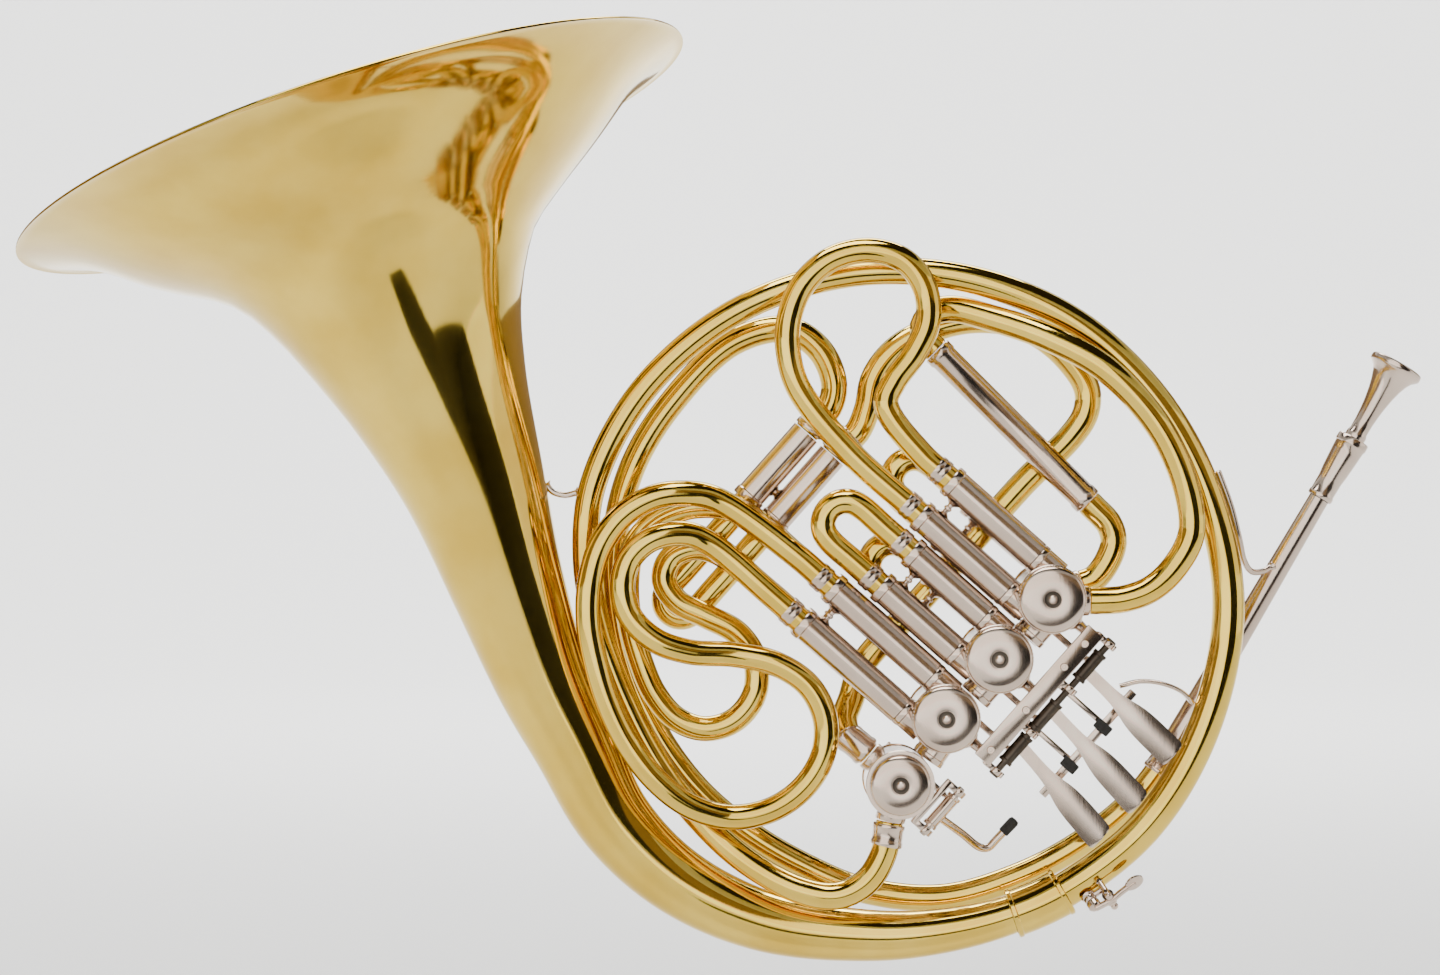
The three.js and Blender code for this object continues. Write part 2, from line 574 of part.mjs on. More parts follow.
function addFingerLever(index) {
  const lever = LEVERS[index];
  const centre = [35.8, 0, -35.8][index];
  const { along, depth } = LEVER_AXIS;
  const sleeveHalf = 8;
  const mid = (lever.root + lever.crank) / 2;
  const a = fromValve(1, along, mid - sleeveHalf, depth);
  const b = fromValve(1, along, mid + sleeveHalf, depth);
  const ends = [-11, 10];
  const pieces = [
    rod(a, b, 3.4, 12),
    blade(1, lever.root, lever.tip, along - 1, lever.reach, depth),
    ...crankPieces(1, LEVER_AXIS, lever.crank),
    ...pegs(1, lever.crank, STRING_SIDE[index], centre, ends),
  ];
  const bore = rod(
    fromValve(1, along, mid - sleeveHalf - 1, depth),
    fromValve(1, along, mid + sleeveHalf + 1, depth),
    ROD_R + 0.45,
    12,
  );
  place(`finger_lever_${index + 1}`, combine(pieces, [bore]), NICKEL);
  addString(`lever_${index + 1}_string`, 1, STRING_SIDE[index], centre, ends);
}

function addThumbLever() {
  const { along, depth } = THUMB_AXIS;
  const crank = 8.5;
  const ends = [-11, 10];
  const a = fromValve(3, along, -6, depth);
  const b = fromValve(3, along, 12, depth);
  const touchDepth = 17;
  const pieces = [
    rod(a, b, 3.4, 12),
    ...crankPieces(3, THUMB_AXIS, crank),
    ...pegs(3, crank, STRING_SIDE[3], 0, ends),
    rod(fromValve(3, along - 1, 0, depth + 2.4), fromValve(3, along - 29, 2, touchDepth), 1.9, 8),
    rod(fromValve(3, along - 29, 0, touchDepth), fromValve(3, along - 29.8, 22, touchDepth), 2.1, 8),
  ];
  const bore = rod(fromValve(3, along, -7, depth), fromValve(3, along, 13, depth), ROD_R + 0.45, 12);
  place('thumb_lever', combine(pieces, [bore]), NICKEL);
  addString('thumb_string', 3, STRING_SIDE[3], 0, ends);
}

// ---- lever rack, rods, stop rail ----
function addRack() {
  const { along, depth } = LEVER_AXIS;
  const ears = [38.2, 11.3, -15.1, -38.5];
  const pieces = [block(1, [along + 4.5, along + 7.5], [-40, 39.7], [depth - 6, depth + 5])];
  for (const ear of ears) {
    pieces.push(block(1, [along - 3.5, along + 6], [ear - 1.4, ear + 1.4], [depth - 3.5, depth + 3.5]));
  }
  for (const across of [35.8, 0, -35.8]) {
    const from = fromValve(1, -CASING_R - 0.6, across, depth);
    pieces.push(rod(from, fromValve(1, along + 6, across, depth), 2.6, 6));
  }
  const bore = rod(fromValve(1, along, -42, depth), fromValve(1, along, 42, depth), ROD_R + GAP, 10);
  place('lever_rack', combine(pieces, [bore]), NICKEL);
  const ends = [-41, 40.7].map((across) => fromValve(1, along, across, depth));
  place('lever_rod', rod(...ends, ROD_R, 10), STEEL);
}

function addThumbBracket() {
  const { along, depth } = THUMB_AXIS;
  const pieces = [
    block(3, [-19, -CASING_R - 0.6], [-10, 16], [depth - 3.5, depth + 3.5]),
    block(3, [along - 3.2, -17], [-10, -6.9], [depth - 3.5, depth + 3.5]),
    block(3, [along - 3.2, -17], [12.9, 16], [depth - 3.5, depth + 3.5]),
  ];
  const bore = rod(fromValve(3, along, -12, depth), fromValve(3, along, 18, depth), ROD_R + GAP, 10);
  place('thumb_bracket', combine(pieces, [bore]), NICKEL);
  place('thumb_rod', rod(fromValve(3, along, -11, depth), fromValve(3, along, 17, depth), ROD_R, 10), STEEL);
}

function addStopRail() {
  const { along, depth } = LEVER_AXIS;
  const rail = along - 24;
  const arms = [9.7, -12.4];
  const pieces = [block(1, [rail - 2, rail + 2], [-33, 30], [depth + 10, depth + 12])];
  for (const across of arms) {
    pieces.push(block(1, [rail + 1, along + 4], [across - 1.3, across + 1.3], [depth + 10.2, depth + 11.8]));
    pieces.push(block(1, [along + 1, along + 4.1], [across - 1.3, across + 1.3], [depth + 4, depth + 11]));
  }
  place('stop_rail', combine(pieces), NICKEL);
  const felt = block(1, [rail - 2, rail + 2], [-33, 30], [depth + 6.5, depth + 10 - GAP]);
  place('stop_bumper', felt, RUBBER);
}

// ---- little-finger hook, water key and braces ----
const KEY_FROM_BELL = 21;                 // along the first branch
const KEY_TURN = 40;                      // the key stands out this many degrees towards the front

function addFingerHook() {
  const spine = [[130.2, -43], [125.5, -38], [116.5, -34.2], [107, -33.2], [98, -35.2]];
  const thick = 1.7;
  const centre = [114, -52];
  const outline = spine.map(([x, z]) => new THREE.Vector2(x, -z));
  const back = spine.map(([x, z]) => {
    const out = new THREE.Vector2(x - centre[0], -(z - centre[1])).setLength(thick);
    return new THREE.Vector2(x, -z).add(out);
  }).reverse();
  const shape = new THREE.Shape([...outline, ...back]);
  const geometry = new THREE.ExtrudeGeometry(shape, { depth: 9, bevelEnabled: false });
  geometry.rotateX(-Math.PI / 2).translate(0, -4.5, 0);
  place('finger_hook', geometry, NICKEL);
}

function addWaterKey() {
  const at = AIR_WAY.getPointAt((BELL_LENGTH + KEY_FROM_BELL) / AIR_WAY.getLength());
  const radial = at.clone().setY(0).normalize();
  const side = vec(-radial.z, 0, radial.x);
  const turn = THREE.MathUtils.degToRad(KEY_TURN);
  const out = radial.multiplyScalar(Math.cos(turn)).addScaledVector(DEPTH, -Math.sin(turn));
  const wide = side.clone().cross(out);
  const base = at.clone().addScaledVector(out, TAIL_R + 1.2);
  const spot = (outward, sideways, depth) => base.clone()
    .addScaledVector(out, outward).addScaledVector(side, sideways).addScaledVector(wide, depth);
  const nipple = rod(spot(0, 0, 0), spot(3.4, 0, 0), 3.1, 8);
  const ear = (depth) => rod(spot(0, 7.5, depth), spot(8.6, 7.5, depth), 1.5, 6);
  const pin = rod(spot(6.6, 7.5, -6.6), spot(6.6, 7.5, 6.6), 1.1, 6);
  const foot = rod(spot(-0.1, 7.5, -6.4), spot(-0.1, 7.5, 6.4), 1.5, 6);
  const land = rod(spot(0.9, -1, 0), spot(0.9, 8, 0), 1.6, 6);
  const bore = rod(spot(2, 0, 0), spot(4, 0, 0), 1.6, 6);
  place('water_key_saddle', combine([nipple, ear(-5), ear(5), pin, foot, land], [bore]), NICKEL);
  const collar = rod(spot(6.6, 7.5, -3.1), spot(6.6, 7.5, 3.1), 2.7, 10);
  const hole = rod(spot(6.6, 7.5, -5), spot(6.6, 7.5, 5), 1.5, 10);
  const arm = rod(spot(6.9, 20, 0), spot(6.9, -0.5, 0), 1.5, 6);
  const pad = rod(spot(3.8, 0, 0), spot(7.6, 0, 0), 3, 10);
  const touch = rod(spot(6.2, 20.5, 0), spot(7.8, 20.5, 0), 4.6, 12);
  place('water_key_lever', combine([collar, arm, pad, touch], [hole]), NICKEL);
}

function addBraces() {
  const bellBrace = smooth([
    vec(-161.6, 3, 56.2), vec(-159.6, 3, 53.6), vec(-154.5, 3, 52.3), vec(-149.2, 3, 53.4),
  ]);
  place('bell_brace', tube(bellBrace, { radius: 1.4, step: 2.5, sides: 8 }), NICKEL);
  const pipeBrace = smooth([
    ring(155.7, 24, 0), ring(155.6, 18, 1), ring(155.8, 12, 3), vec(155, 6.5, 22.5), vec(159, 11.5, 17.4),
    vec(166.2, 18.6, 17.5),
  ]);
  place('mouthpipe_brace', tube(pipeBrace, { radius: 1.4, step: 7, sides: 8 }), NICKEL);
}

addBell();
addFirstBranch();
addMouthpipe();
addMouthpiece();
addLeadpipeBranch();
addMainSlide();
addChangeValveFeed();
addFBranch();
for (const valve of VALVES.keys()) addValve(valve);
addSlide('f1', OMEGA, [86, 110], 13);
addSlide('f2', roundBow(1, 91, FRONT), [77, 77], 6);
addSlide('f3', KIDNEY, [98, 96], 14);
addSlide('bb1', roundBow(0, 80, REAR), [66, 66], 6);
addSlide('bb2', roundBow(1, 62, REAR), [50, 50], 6);
addSlide('bb3', NESTED, [100, 96], 13);
for (const index of LEVERS.keys()) addFingerLever(index);
addThumbLever();
addRack();
addThumbBracket();
addStopRail();
addFingerHook();
addWaterKey();
addBraces();

horn.position.copy(HOOK_SEAT).negate();

export default horn;
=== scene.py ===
"""Looks of a double French horn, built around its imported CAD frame.

Shapes are laid out in millimetres about the centre of the round body, with the same curves and driving
sizes as the CAD, and are moved into the row frame, in metres, when each piece is made.
"""

import math

import bmesh
import bpy
import numpy as np
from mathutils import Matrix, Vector


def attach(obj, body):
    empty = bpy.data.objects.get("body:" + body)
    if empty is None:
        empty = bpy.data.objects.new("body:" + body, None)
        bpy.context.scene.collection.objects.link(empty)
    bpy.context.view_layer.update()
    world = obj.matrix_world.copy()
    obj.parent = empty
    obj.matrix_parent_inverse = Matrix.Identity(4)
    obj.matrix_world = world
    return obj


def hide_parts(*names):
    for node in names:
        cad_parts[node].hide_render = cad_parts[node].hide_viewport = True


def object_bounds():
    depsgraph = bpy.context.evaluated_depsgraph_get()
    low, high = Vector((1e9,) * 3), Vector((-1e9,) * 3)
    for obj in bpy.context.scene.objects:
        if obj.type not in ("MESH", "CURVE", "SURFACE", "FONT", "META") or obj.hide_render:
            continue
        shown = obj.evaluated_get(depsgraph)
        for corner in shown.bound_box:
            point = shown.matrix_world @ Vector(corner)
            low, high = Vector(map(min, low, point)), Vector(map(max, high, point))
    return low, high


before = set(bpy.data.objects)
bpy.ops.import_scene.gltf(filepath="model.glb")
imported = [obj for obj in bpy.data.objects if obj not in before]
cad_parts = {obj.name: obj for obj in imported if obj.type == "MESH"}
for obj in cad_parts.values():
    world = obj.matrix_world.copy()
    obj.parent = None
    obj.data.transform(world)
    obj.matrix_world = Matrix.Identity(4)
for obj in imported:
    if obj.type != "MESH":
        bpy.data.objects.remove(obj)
cad_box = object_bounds()

# ---- driving sizes, in millimetres ----
MM = 0.001
SEAT = np.array([112.0, 0.0, -37.0])  # the row frame's origin, under the finger hook
GAP = 0.3  # between neighbouring solids
TUBE_R = 6.2
LEG_R = 5.8  # of a slide's own tube, which runs in its sleeves
SLEEVE_IN, SLEEVE_OUT = 6.3, 6.95
FRONT, REAR, BACK = -13.0, 9.0, 24.0  # depths of the three layers of tubing
BELL_R, BELL_WALL, BELL_FLARE, BELL_POWER = 159.0, 1.2, 50.0, 1.09
BELL_LENGTH, TAIL_START, TAIL_R = 540.0, 395.0, 8.2
SWELL, SWELL_END = 0.12, 60.0  # how much fuller the flare is, and how far from the rim that ends
BEAD_R = 1.5  # of the rolled rim
BRANCH_TAPER = 420.0  # length over which the first branch narrows to TUBE_R
CASING_R, BORE_R = 15.5, 13.75
CAP_R = (14.9, 14.9, 14.9, 13.4)
KNURLS = 60  # round a cap's edge
CASING_FRONT, CASING_BACK, PLATE = -26.0, 22.0, 3.0
HUB_R = 5.0
LEG_OFFSET, STUB_END = 10.4, 17.0  # of a valve slide's legs from the axis, across and along
STRING_Y, STRING_R = 36.0, 0.5  # depth and radius of the strings
ROD_R = 1.6
LEVER_ALONG, LEVER_DEPTH = -34.3, -6.0  # the finger levers' hinge line, from valve 2
THUMB_ALONG, THUMB_DEPTH = -24.0, -2.0  # the thumb lever's, from valve 4
SIDES = 40  # round a tube
TANGENT_REACH = 0.6  # a curve's direction is taken this far to either side
AXIS = 10.0  # length of the line that a turned piece is laid out on; a Way goes on straight past its ends
SMOOTH_BELOW = 38.0  # degrees; sharper edges stay hard

LINE = math.radians(48.5)  # slope of the valve line
ACROSS = np.array([math.cos(LINE), 0.0, math.sin(LINE)])
ALONG = np.array([-math.sin(LINE), 0.0, math.cos(LINE)])
DEPTH = np.array([0.0, 1.0, 0.0])
VALVES = np.array([(64.6, 0, 5.6), (40.9, 0, -21.2), (17.2, 0, -48.0), (-3.3, 0, -77.5)])


def vec(x, y, z):
    return np.array([x, y, z], float)


def ring(radius, degrees, depth):
    """A point about the body's centre, at an angle from +X."""
    angle = math.radians(degrees)
    return vec(radius * math.cos(angle), depth, radius * math.sin(angle))


def at(valve, along, across, depth):
    """A point given along and across the slides from a valve's axis."""
    point = VALVES[valve] + ALONG * along + ACROSS * across
    point[1] = depth
    return point


def layer(depth, *places):
    """Points at one depth, from their (x, z) places."""
    return [vec(x, depth, z) for x, z in places]


def unit(v):
    return v / np.linalg.norm(v)


# ---- curves ----
class Way:
    """A centripetal Catmull-Rom curve through points, measured by distance along it."""

    def __init__(self, points, fine=24):
        knots = np.array(points, float)
        knots = np.vstack([2 * knots[0] - knots[1], knots, 2 * knots[-1] - knots[-2]])
        dense = []
        for i in range(1, len(knots) - 2):
            x0, x1, x2, x3 = knots[i - 1 : i + 3]
            d0, d1, d2 = (math.sqrt(np.linalg.norm(b - a)) for a, b in ((x0, x1), (x1, x2), (x2, x3)))
            m1 = ((x1 - x0) / d0 - (x2 - x0) / (d0 + d1) + (x2 - x1) / d1) * d1
            m2 = ((x2 - x1) / d1 - (x3 - x1) / (d1 + d2) + (x3 - x2) / d2) * d1
            t = np.linspace(0, 1, fine, endpoint=False)[:, None]
            dense.append(
                (2 * t**3 - 3 * t**2 + 1) * x1
                + (t**3 - 2 * t**2 + t) * m1
                + (-2 * t**3 + 3 * t**2) * x2
                + (t**3 - t**2) * m2
            )
        self.points = np.vstack([*dense, knots[-2]])
        steps = np.linalg.norm(np.diff(self.points, axis=0), axis=1)
        self.at = np.concatenate([[0], np.cumsum(steps)])
        self.length = self.at[-1]

    def point(self, s):
        """The point at each distance; past either end the curve goes on straight."""
        s = np.atleast_1d(np.asarray(s, float))
        inside = np.clip(s, 0, self.length)
        p = np.stack([np.interp(inside, self.at, self.points[:, k]) for k in range(3)], axis=1)
        first, last = unit(self.points[1] - self.points[0]), unit(self.points[-1] - self.points[-2])
        p += np.minimum(s, 0)[:, None] * first + np.maximum(s - self.length, 0)[:, None] * last
        return p

    def frames(self, s):
        """Centre, side and depth directions at each distance."""
        s = np.atleast_1d(np.asarray(s, float))
        t = self.point(s + TANGENT_REACH) - self.point(s - TANGENT_REACH)
        t /= np.linalg.norm(t, axis=1)[:, None]
        up = DEPTH if abs(t[0] @ DEPTH) < 0.95 else ACROSS
        b = up - (t @ up)[:, None] * t
        b /= np.linalg.norm(b, axis=1)[:, None]
        return self.point(s), np.cross(t, b), b


def line(a, b):
    return Way([a, (np.asarray(a) + np.asarray(b)) / 2, b], fine=2)


# ---- shapes: each is (points, faces) ----
def sweep(way, profile, sides=SIDES, closed=False, lobes=None):
    """Turns a profile of (radius, distance) round a curve. lobes(angle) scales the radius round the turn."""
    radii = np.array([r for r, _ in profile], float)
    centre, side, deep = way.frames([s for _, s in profile])
    angle = np.linspace(0, 2 * math.pi, sides, endpoint=False)
    shape = np.ones(sides) if lobes is None else lobes(angle)
    points, rows = [], []
    for r, c, n, b in zip(radii, centre, side, deep):
        if r < 1e-6:
            rows.append([len(points)])
            points.append(c)
            continue
        rows.append(list(range(len(points), len(points) + sides)))
        points.extend(c + r * shape[:, None] * (np.cos(angle)[:, None] * n + np.sin(angle)[:, None] * b))
    pairs = list(zip(rows, rows[1:])) + ([(rows[-1], rows[0])] if closed else [])
    faces = []
    for u, v in pairs:
        for k in range(sides):
            j = (k + 1) % sides
            corners = [u[0]] if len(u) == 1 else [u[k], u[j]]
            corners += [v[0]] if len(v) == 1 else [v[j], v[k]]
            faces.append(corners)
    return np.array(points), faces


def stretch(start, end, step):
    """Distances from start to end, about a step apart."""
    return np.linspace(start, end, max(2, round(abs(end - start) / step) + 1))


def tube(way, radius=TUBE_R, start=0.0, step=2.5, sides=SIDES):
    """A solid tube with slightly rounded ends; radius is a number or a function of distance."""
    end = way.length
    size = radius if callable(radius) else lambda s: radius
    edge = min(0.5, size(start) / 4)
    body = [(size(s), s) for s in stretch(start + edge, end - edge, step)]
    profile = [(0, start), (size(start) - edge, start), *body, (size(end) - edge, end), (0, end)]
    return sweep(way, profile, sides)


def rod(a, b, radius, sides=28):
    """A straight round rod with rounded edges."""
    way = line(a, b)
    return tube(way, radius, step=way.length, sides=sides)


def turned(a, direction, profile, sides=48, closed=False, lobes=None):
    """A piece turned about a straight axis from a, with its profile's distances along direction."""
    return sweep(line(a, np.asarray(a) + unit(direction) * AXIS), profile, sides, closed, lobes)


def block(valve, along, across, depth, edge=0.35):
    """A box with rounded edges, given its limits about a valve's axis."""
    bm = bmesh.new()
    bmesh.ops.create_cube(bm, size=1)
    spans = [hi - lo for lo, hi in (along, across, depth)]
    for v in bm.verts:
        for k in range(3):
            v.co[k] *= spans[k]
    edge = min(edge, min(spans) / 3)
    bmesh.ops.bevel(bm, geom=bm.edges[:], offset=edge, segments=2, profile=0.5, affect="EDGES")
    local = np.array([v.co for v in bm.verts], float)
    faces = [[v.index for v in f.verts] for f in bm.faces]
    bm.free()
    centre = at(valve, sum(along) / 2, sum(across) / 2, sum(depth) / 2)
    return centre + local @ np.array([ALONG, ACROSS, DEPTH]), faces


def merge(*shapes):
    """Several shapes as one, each still whole."""
    points, faces, base = [], [], 0
    for p, f in shapes:
        points.append(p)
        faces.extend([i + base for i in face] for face in f)
        base += len(p)
    return np.vstack(points), faces


def ball(centre, radius):
    turns = np.linspace(-math.pi / 2, math.pi / 2, 13)[1:-1]
    profile = [(radius * math.cos(t), radius * math.sin(t)) for t in turns]
    return turned(centre, DEPTH, [(0, -radius), *profile, (0, radius)], 24)


def screw(centre, direction, radius=1.9, height=1.1):
    """A round screw head, standing on centre, with a driver hole."""
    return turned(centre, direction, [
        (0, -0.2), (radius, -0.2), (radius, height * 0.6), (radius * 0.8, height), (radius * 0.45, height),
        (radius * 0.4, height * 0.4), (0, height * 0.4),
    ], 28)


# ---- making pieces ----
def piece(name, shape, material, body, slot, *nodes, sharp=SMOOTH_BELOW):
    """Makes a Blender object from a shape, in the row frame, and hides the CAD nodes that it stands for."""
    points, faces = shape
    mesh = bpy.data.meshes.new(name)
    mesh.from_pydata(((points - SEAT) * MM).tolist(), [], faces)
    bm = bmesh.new()
    bm.from_mesh(mesh)
    bmesh.ops.recalc_face_normals(bm, faces=bm.faces)
    for face in bm.faces:
        face.smooth = True
    for edge in bm.edges:
        edge.smooth = not (edge.is_manifold and edge.calc_face_angle(0) > math.radians(sharp))
    bm.to_mesh(mesh)
    bm.free()
    obj = bpy.data.objects.new(name, mesh)
    bpy.context.scene.collection.objects.link(obj)
    obj.data.materials.append(material)
    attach(obj, body)
    if nodes:
        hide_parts(*nodes)


def brass(name, shape, *nodes, body="corpus"):
    piece(name, shape, BRASS, body, "brass", *nodes)


def nickel(name, shape, *nodes, body="corpus", sharp=SMOOTH_BELOW):
    piece(name, shape, NICKEL, body, "nickel_silver", *nodes, sharp=sharp)


def steel(name, shape, *nodes, body="corpus", material=None):
    piece(name, shape, material or STEEL, body, "steel", *nodes)


def rubber(name, shape, *nodes, body="corpus"):
    piece(name, shape, RUBBER, body, "rubber", *nodes)


# ---- materials ----
def metal(name, dark, light, rough, coat, grain):
    """Polished metal: two close tones in broad patches, uneven gloss and fine buffing lines."""
    material = bpy.data.materials.new(name)
    material.use_nodes = True
    nodes, links = material.node_tree.nodes, material.node_tree.links
    shader = nodes["Principled BSDF"]
    shader.inputs["Metallic"].default_value = 1.0
    shader.inputs["Coat Weight"].default_value = coat
    shader.inputs["Coat Roughness"].default_value = 0.04
    where = nodes.new("ShaderNodeTexCoord")

    def noise(scale, detail, stretch_z=1.0):
        mapping = nodes.new("ShaderNodeMapping")
        mapping.inputs["Scale"].default_value = (1, 1, stretch_z)
        links.new(where.outputs["Object"], mapping.inputs["Vector"])
        texture = nodes.new("ShaderNodeTexNoise")
        texture.inputs["Scale"].default_value = scale
        texture.inputs["Detail"].default_value = detail
        links.new(mapping.outputs["Vector"], texture.inputs["Vector"])
        return texture.outputs["Fac"]

    tone = nodes.new("ShaderNodeValToRGB")
    tone.color_ramp.elements[0].position = 0.32
    tone.color_ramp.elements[0].color = (*dark, 1)
    tone.color_ramp.elements[1].position = 0.68
    tone.color_ramp.elements[1].color = (*light, 1)
    links.new(noise(26, 4), tone.inputs["Fac"])
    links.new(tone.outputs["Color"], shader.inputs["Base Color"])

    gloss = nodes.new("ShaderNodeMapRange")
    gloss.inputs["To Min"].default_value = rough * 0.7
    gloss.inputs["To Max"].default_value = rough * 1.35
    links.new(noise(70, 6), gloss.inputs["Value"])
    links.new(gloss.outputs["Result"], shader.inputs["Roughness"])

    bump = nodes.new("ShaderNodeBump")
    bump.inputs["Strength"].default_value = grain
    bump.inputs["Distance"].default_value = 0.0002
    links.new(noise(900, 3, 0.15), bump.inputs["Height"])
    links.new(bump.outputs["Normal"], shader.inputs["Normal"])
    return material


def mottled(name, dark, light, scale):
    """Matt rubber or braided cord: mottled colour and a rough surface."""
    material = bpy.data.materials.new(name)
    material.use_nodes = True
    nodes, links = material.node_tree.nodes, material.node_tree.links
    shader = nodes["Principled BSDF"]
    shader.inputs["Roughness"].default_value = 0.85
    where = nodes.new("ShaderNodeTexCoord")
    texture = nodes.new("ShaderNodeTexNoise")
    texture.inputs["Scale"].default_value = scale
    texture.inputs["Detail"].default_value = 6
    links.new(where.outputs["Object"], texture.inputs["Vector"])
    tone = nodes.new("ShaderNodeValToRGB")
    tone.color_ramp.elements[0].color = (*dark, 1)
    tone.color_ramp.elements[1].color = (*light, 1)
    links.new(texture.outputs["Fac"], tone.inputs["Fac"])
    links.new(tone.outputs["Color"], shader.inputs["Base Color"])
    bump = nodes.new("ShaderNodeBump")
    bump.inputs["Strength"].default_value = 0.6
    bump.inputs["Distance"].default_value = 0.0003
    links.new(texture.outputs["Fac"], bump.inputs["Height"])
    links.new(bump.outputs["Normal"], shader.inputs["Normal"])
    return material


BRASS = metal("lacquered_brass", (0.70, 0.46, 0.055), (0.82, 0.58, 0.10), 0.08, 0.15, 0.03)
NICKEL = metal("nickel_silver", (0.58, 0.45, 0.36), (0.70, 0.57, 0.47), 0.16, 0.1, 0.08)
STEEL = metal("machined_steel", (0.36, 0.31, 0.27), (0.50, 0.44, 0.39), 0.27, 0.0, 0.15)
# Near black steel: painted shade. It darkens the hinge pins and lever barrels along the hinge line, and the
# ring in each cap's recess, where shade falls.
PAINTED_SHADE_STEEL = metal("steel_with_painted_shade", (0.045, 0.036, 0.028), (0.11, 0.09, 0.07), 0.3, 0.0, 0.15)
RUBBER = mottled("black_rubber", (0.012, 0.011, 0.010), (0.035, 0.033, 0.030), 900)
CORD = mottled("braided_cord", (0.025, 0.022, 0.020), (0.09, 0.08, 0.07), 2200)

# ---- bell, tail ferrule and first branch ----
AIR_WAY = Way([
    vec(-251.9, 9.3, 210), vec(-245.5, 7.6, 191.3), vec(-239.2, 6, 172.8), vec(-232.4, 4.5, 152),
    vec(-224, 3.5, 128), vec(-212.5, 3, 99), vec(-197, 3, 60), vec(-181, 3, 12), vec(-165, 3, -31),
    ring(162, 202, 3), ring(163, 216, 3), ring(161, 230, 3), ring(155.5, 246, 3), ring(149, 264, 2),
    ring(147, 276, 1), ring(146.5, 288, 0), ring(146.5, 300, 0), ring(147, 318, 0), ring(146, 338, 0),
    ring(147, 0, 0), ring(147, 20, 0), ring(149, 40, 1), ring(152, 60, 2), ring(153.5, 80, 2.5),
    ring(155, 100, 3), ring(156, 120, 3), ring(155.5, 140, 3), ring(153, 158, 3), ring(147, 171, 3),
    ring(139.5, 184, 3), ring(134, 198, 3), ring(132.5, 212, 3), ring(133, 225, 1.5), ring(134.5, 237, -5),
    ring(135, 249, -12), vec(-31, FRONT, -128.5), vec(-18, FRONT, -122), vec(-10.5, FRONT, -110),
    vec(-7.6, FRONT, -95),
])


def bell_radius(s):
    """The bell's outside radius: a flare that is a little fuller near the rim, then an even taper."""
    swell = 1 + SWELL * math.sin(math.pi * s / SWELL_END) ** 2 if s < SWELL_END else 1
    if s < TAIL_START:
        return BELL_R * (BELL_FLARE / (s + BELL_FLARE)) ** BELL_POWER * swell
    wide = BELL_R * (BELL_FLARE / (TAIL_START + BELL_FLARE)) ** BELL_POWER
    return wide + (TAIL_R - wide) * (s - TAIL_START) / (BELL_LENGTH - TAIL_START)


def add_bell():
    stations = np.concatenate([[0.6, 1.5, 3], np.geomspace(5, 90, 22), stretch(96, BELL_LENGTH, 5)])
    outside = [(bell_radius(s), s) for s in stations]
    inside = []
    for s in stations[3:]:
        slope = bell_radius(s + 0.5) - bell_radius(s - 0.5)
        tilt = math.hypot(1, slope)
        inside.append((bell_radius(s) - BELL_WALL / tilt, s + BELL_WALL * slope / tilt))
    bead = [
        (BELL_R - 1.4 + BEAD_R * math.cos(t), 0.9 - BEAD_R * math.sin(t))
        for t in np.linspace(math.pi * 0.9, 0, 9)
    ]
    shape = sweep(AIR_WAY, [*bead, *outside, *reversed(inside)], sides=128, closed=True)
    brass("bell_shell", shape, "bell")


def ferrule(way, middle, half, inner, wall=1.3, bead=0.6):
    """A sleeve joint with a small bead at each end."""
    outer = inner + wall
    outside = [
        (outer, -half), (outer + bead, -half + 0.5), (outer + bead, -half + 2), (outer, -half + 2.6),
        (outer, half - 2.6), (outer + bead, half - 2), (outer + bead, half - 0.5), (outer, half),
    ]
    profile = [(inner, -half), *outside, (inner, half)]
    fine = []
    for (r0, s0), (r1, s1) in zip(profile, profile[1:]):
        count = max(1, round(abs(s1 - s0) / 3))
        fine.extend((r0 + (r1 - r0) * k / count, s0 + (s1 - s0) * k / count) for k in range(count))
    fine.append(profile[-1])
    return sweep(way, [(r, middle + s) for r, s in fine], closed=True)


def collar(way, middle, half):
    """The ring where a tube enters another."""
    return ferrule(way, middle, half, TUBE_R + 0.05, 0.7, 0.35)


def add_first_branch():
    start = BELL_LENGTH + GAP

    def radius(s):
        return TAIL_R + (TUBE_R - TAIL_R) * min(1, (s - start) / BRANCH_TAPER)

    brass("first_branch_tube", tube(AIR_WAY, radius, start), "first_branch")
    joint = ferrule(AIR_WAY, BELL_LENGTH, 13, TAIL_R + 1.3)
    brass("bell_tail_ferrule", joint, "bell_ferrule")
    nickel("first_branch_collar", collar(AIR_WAY, AIR_WAY.length - 6, 5))


# ---- mouthpipe and mouthpiece ----
PIPE_START = vec(124, BACK, -65)
PIPE = unit(vec(0.507, 0, 0.862))
PIPE_END, RECEIVER_END = 134.0, 166.0
PIECE_START, PIECE_LENGTH = 146.0, 60.0


def add_mouthpipe():
    profile = [(0, GAP), (TUBE_R, GAP), (TUBE_R - 0.1, 6), (4.7, PIPE_END), (0, PIPE_END)]
    nickel("mouthpipe_tube", turned(PIPE_START, PIPE, profile), "mouthpipe")
    s = PIPE_END + GAP
    receiver = [
        (4.9, s), (5.6, s), (6.0, s + 0.8), (6.0, s + 2.2), (5.6, s + 3), (5.7, s + 10), (6.2, s + 14),
        (6.9, s + 24), (7.1, RECEIVER_END - 4), (7.6, RECEIVER_END - 3.4), (7.6, RECEIVER_END - 0.5),
        (7.3, RECEIVER_END), (5.5, RECEIVER_END), (5.1, s + 12),
    ]
    shape = turned(PIPE_START, PIPE, receiver, closed=True)
    nickel("receiver_tube", shape, "mouthpipe_receiver")


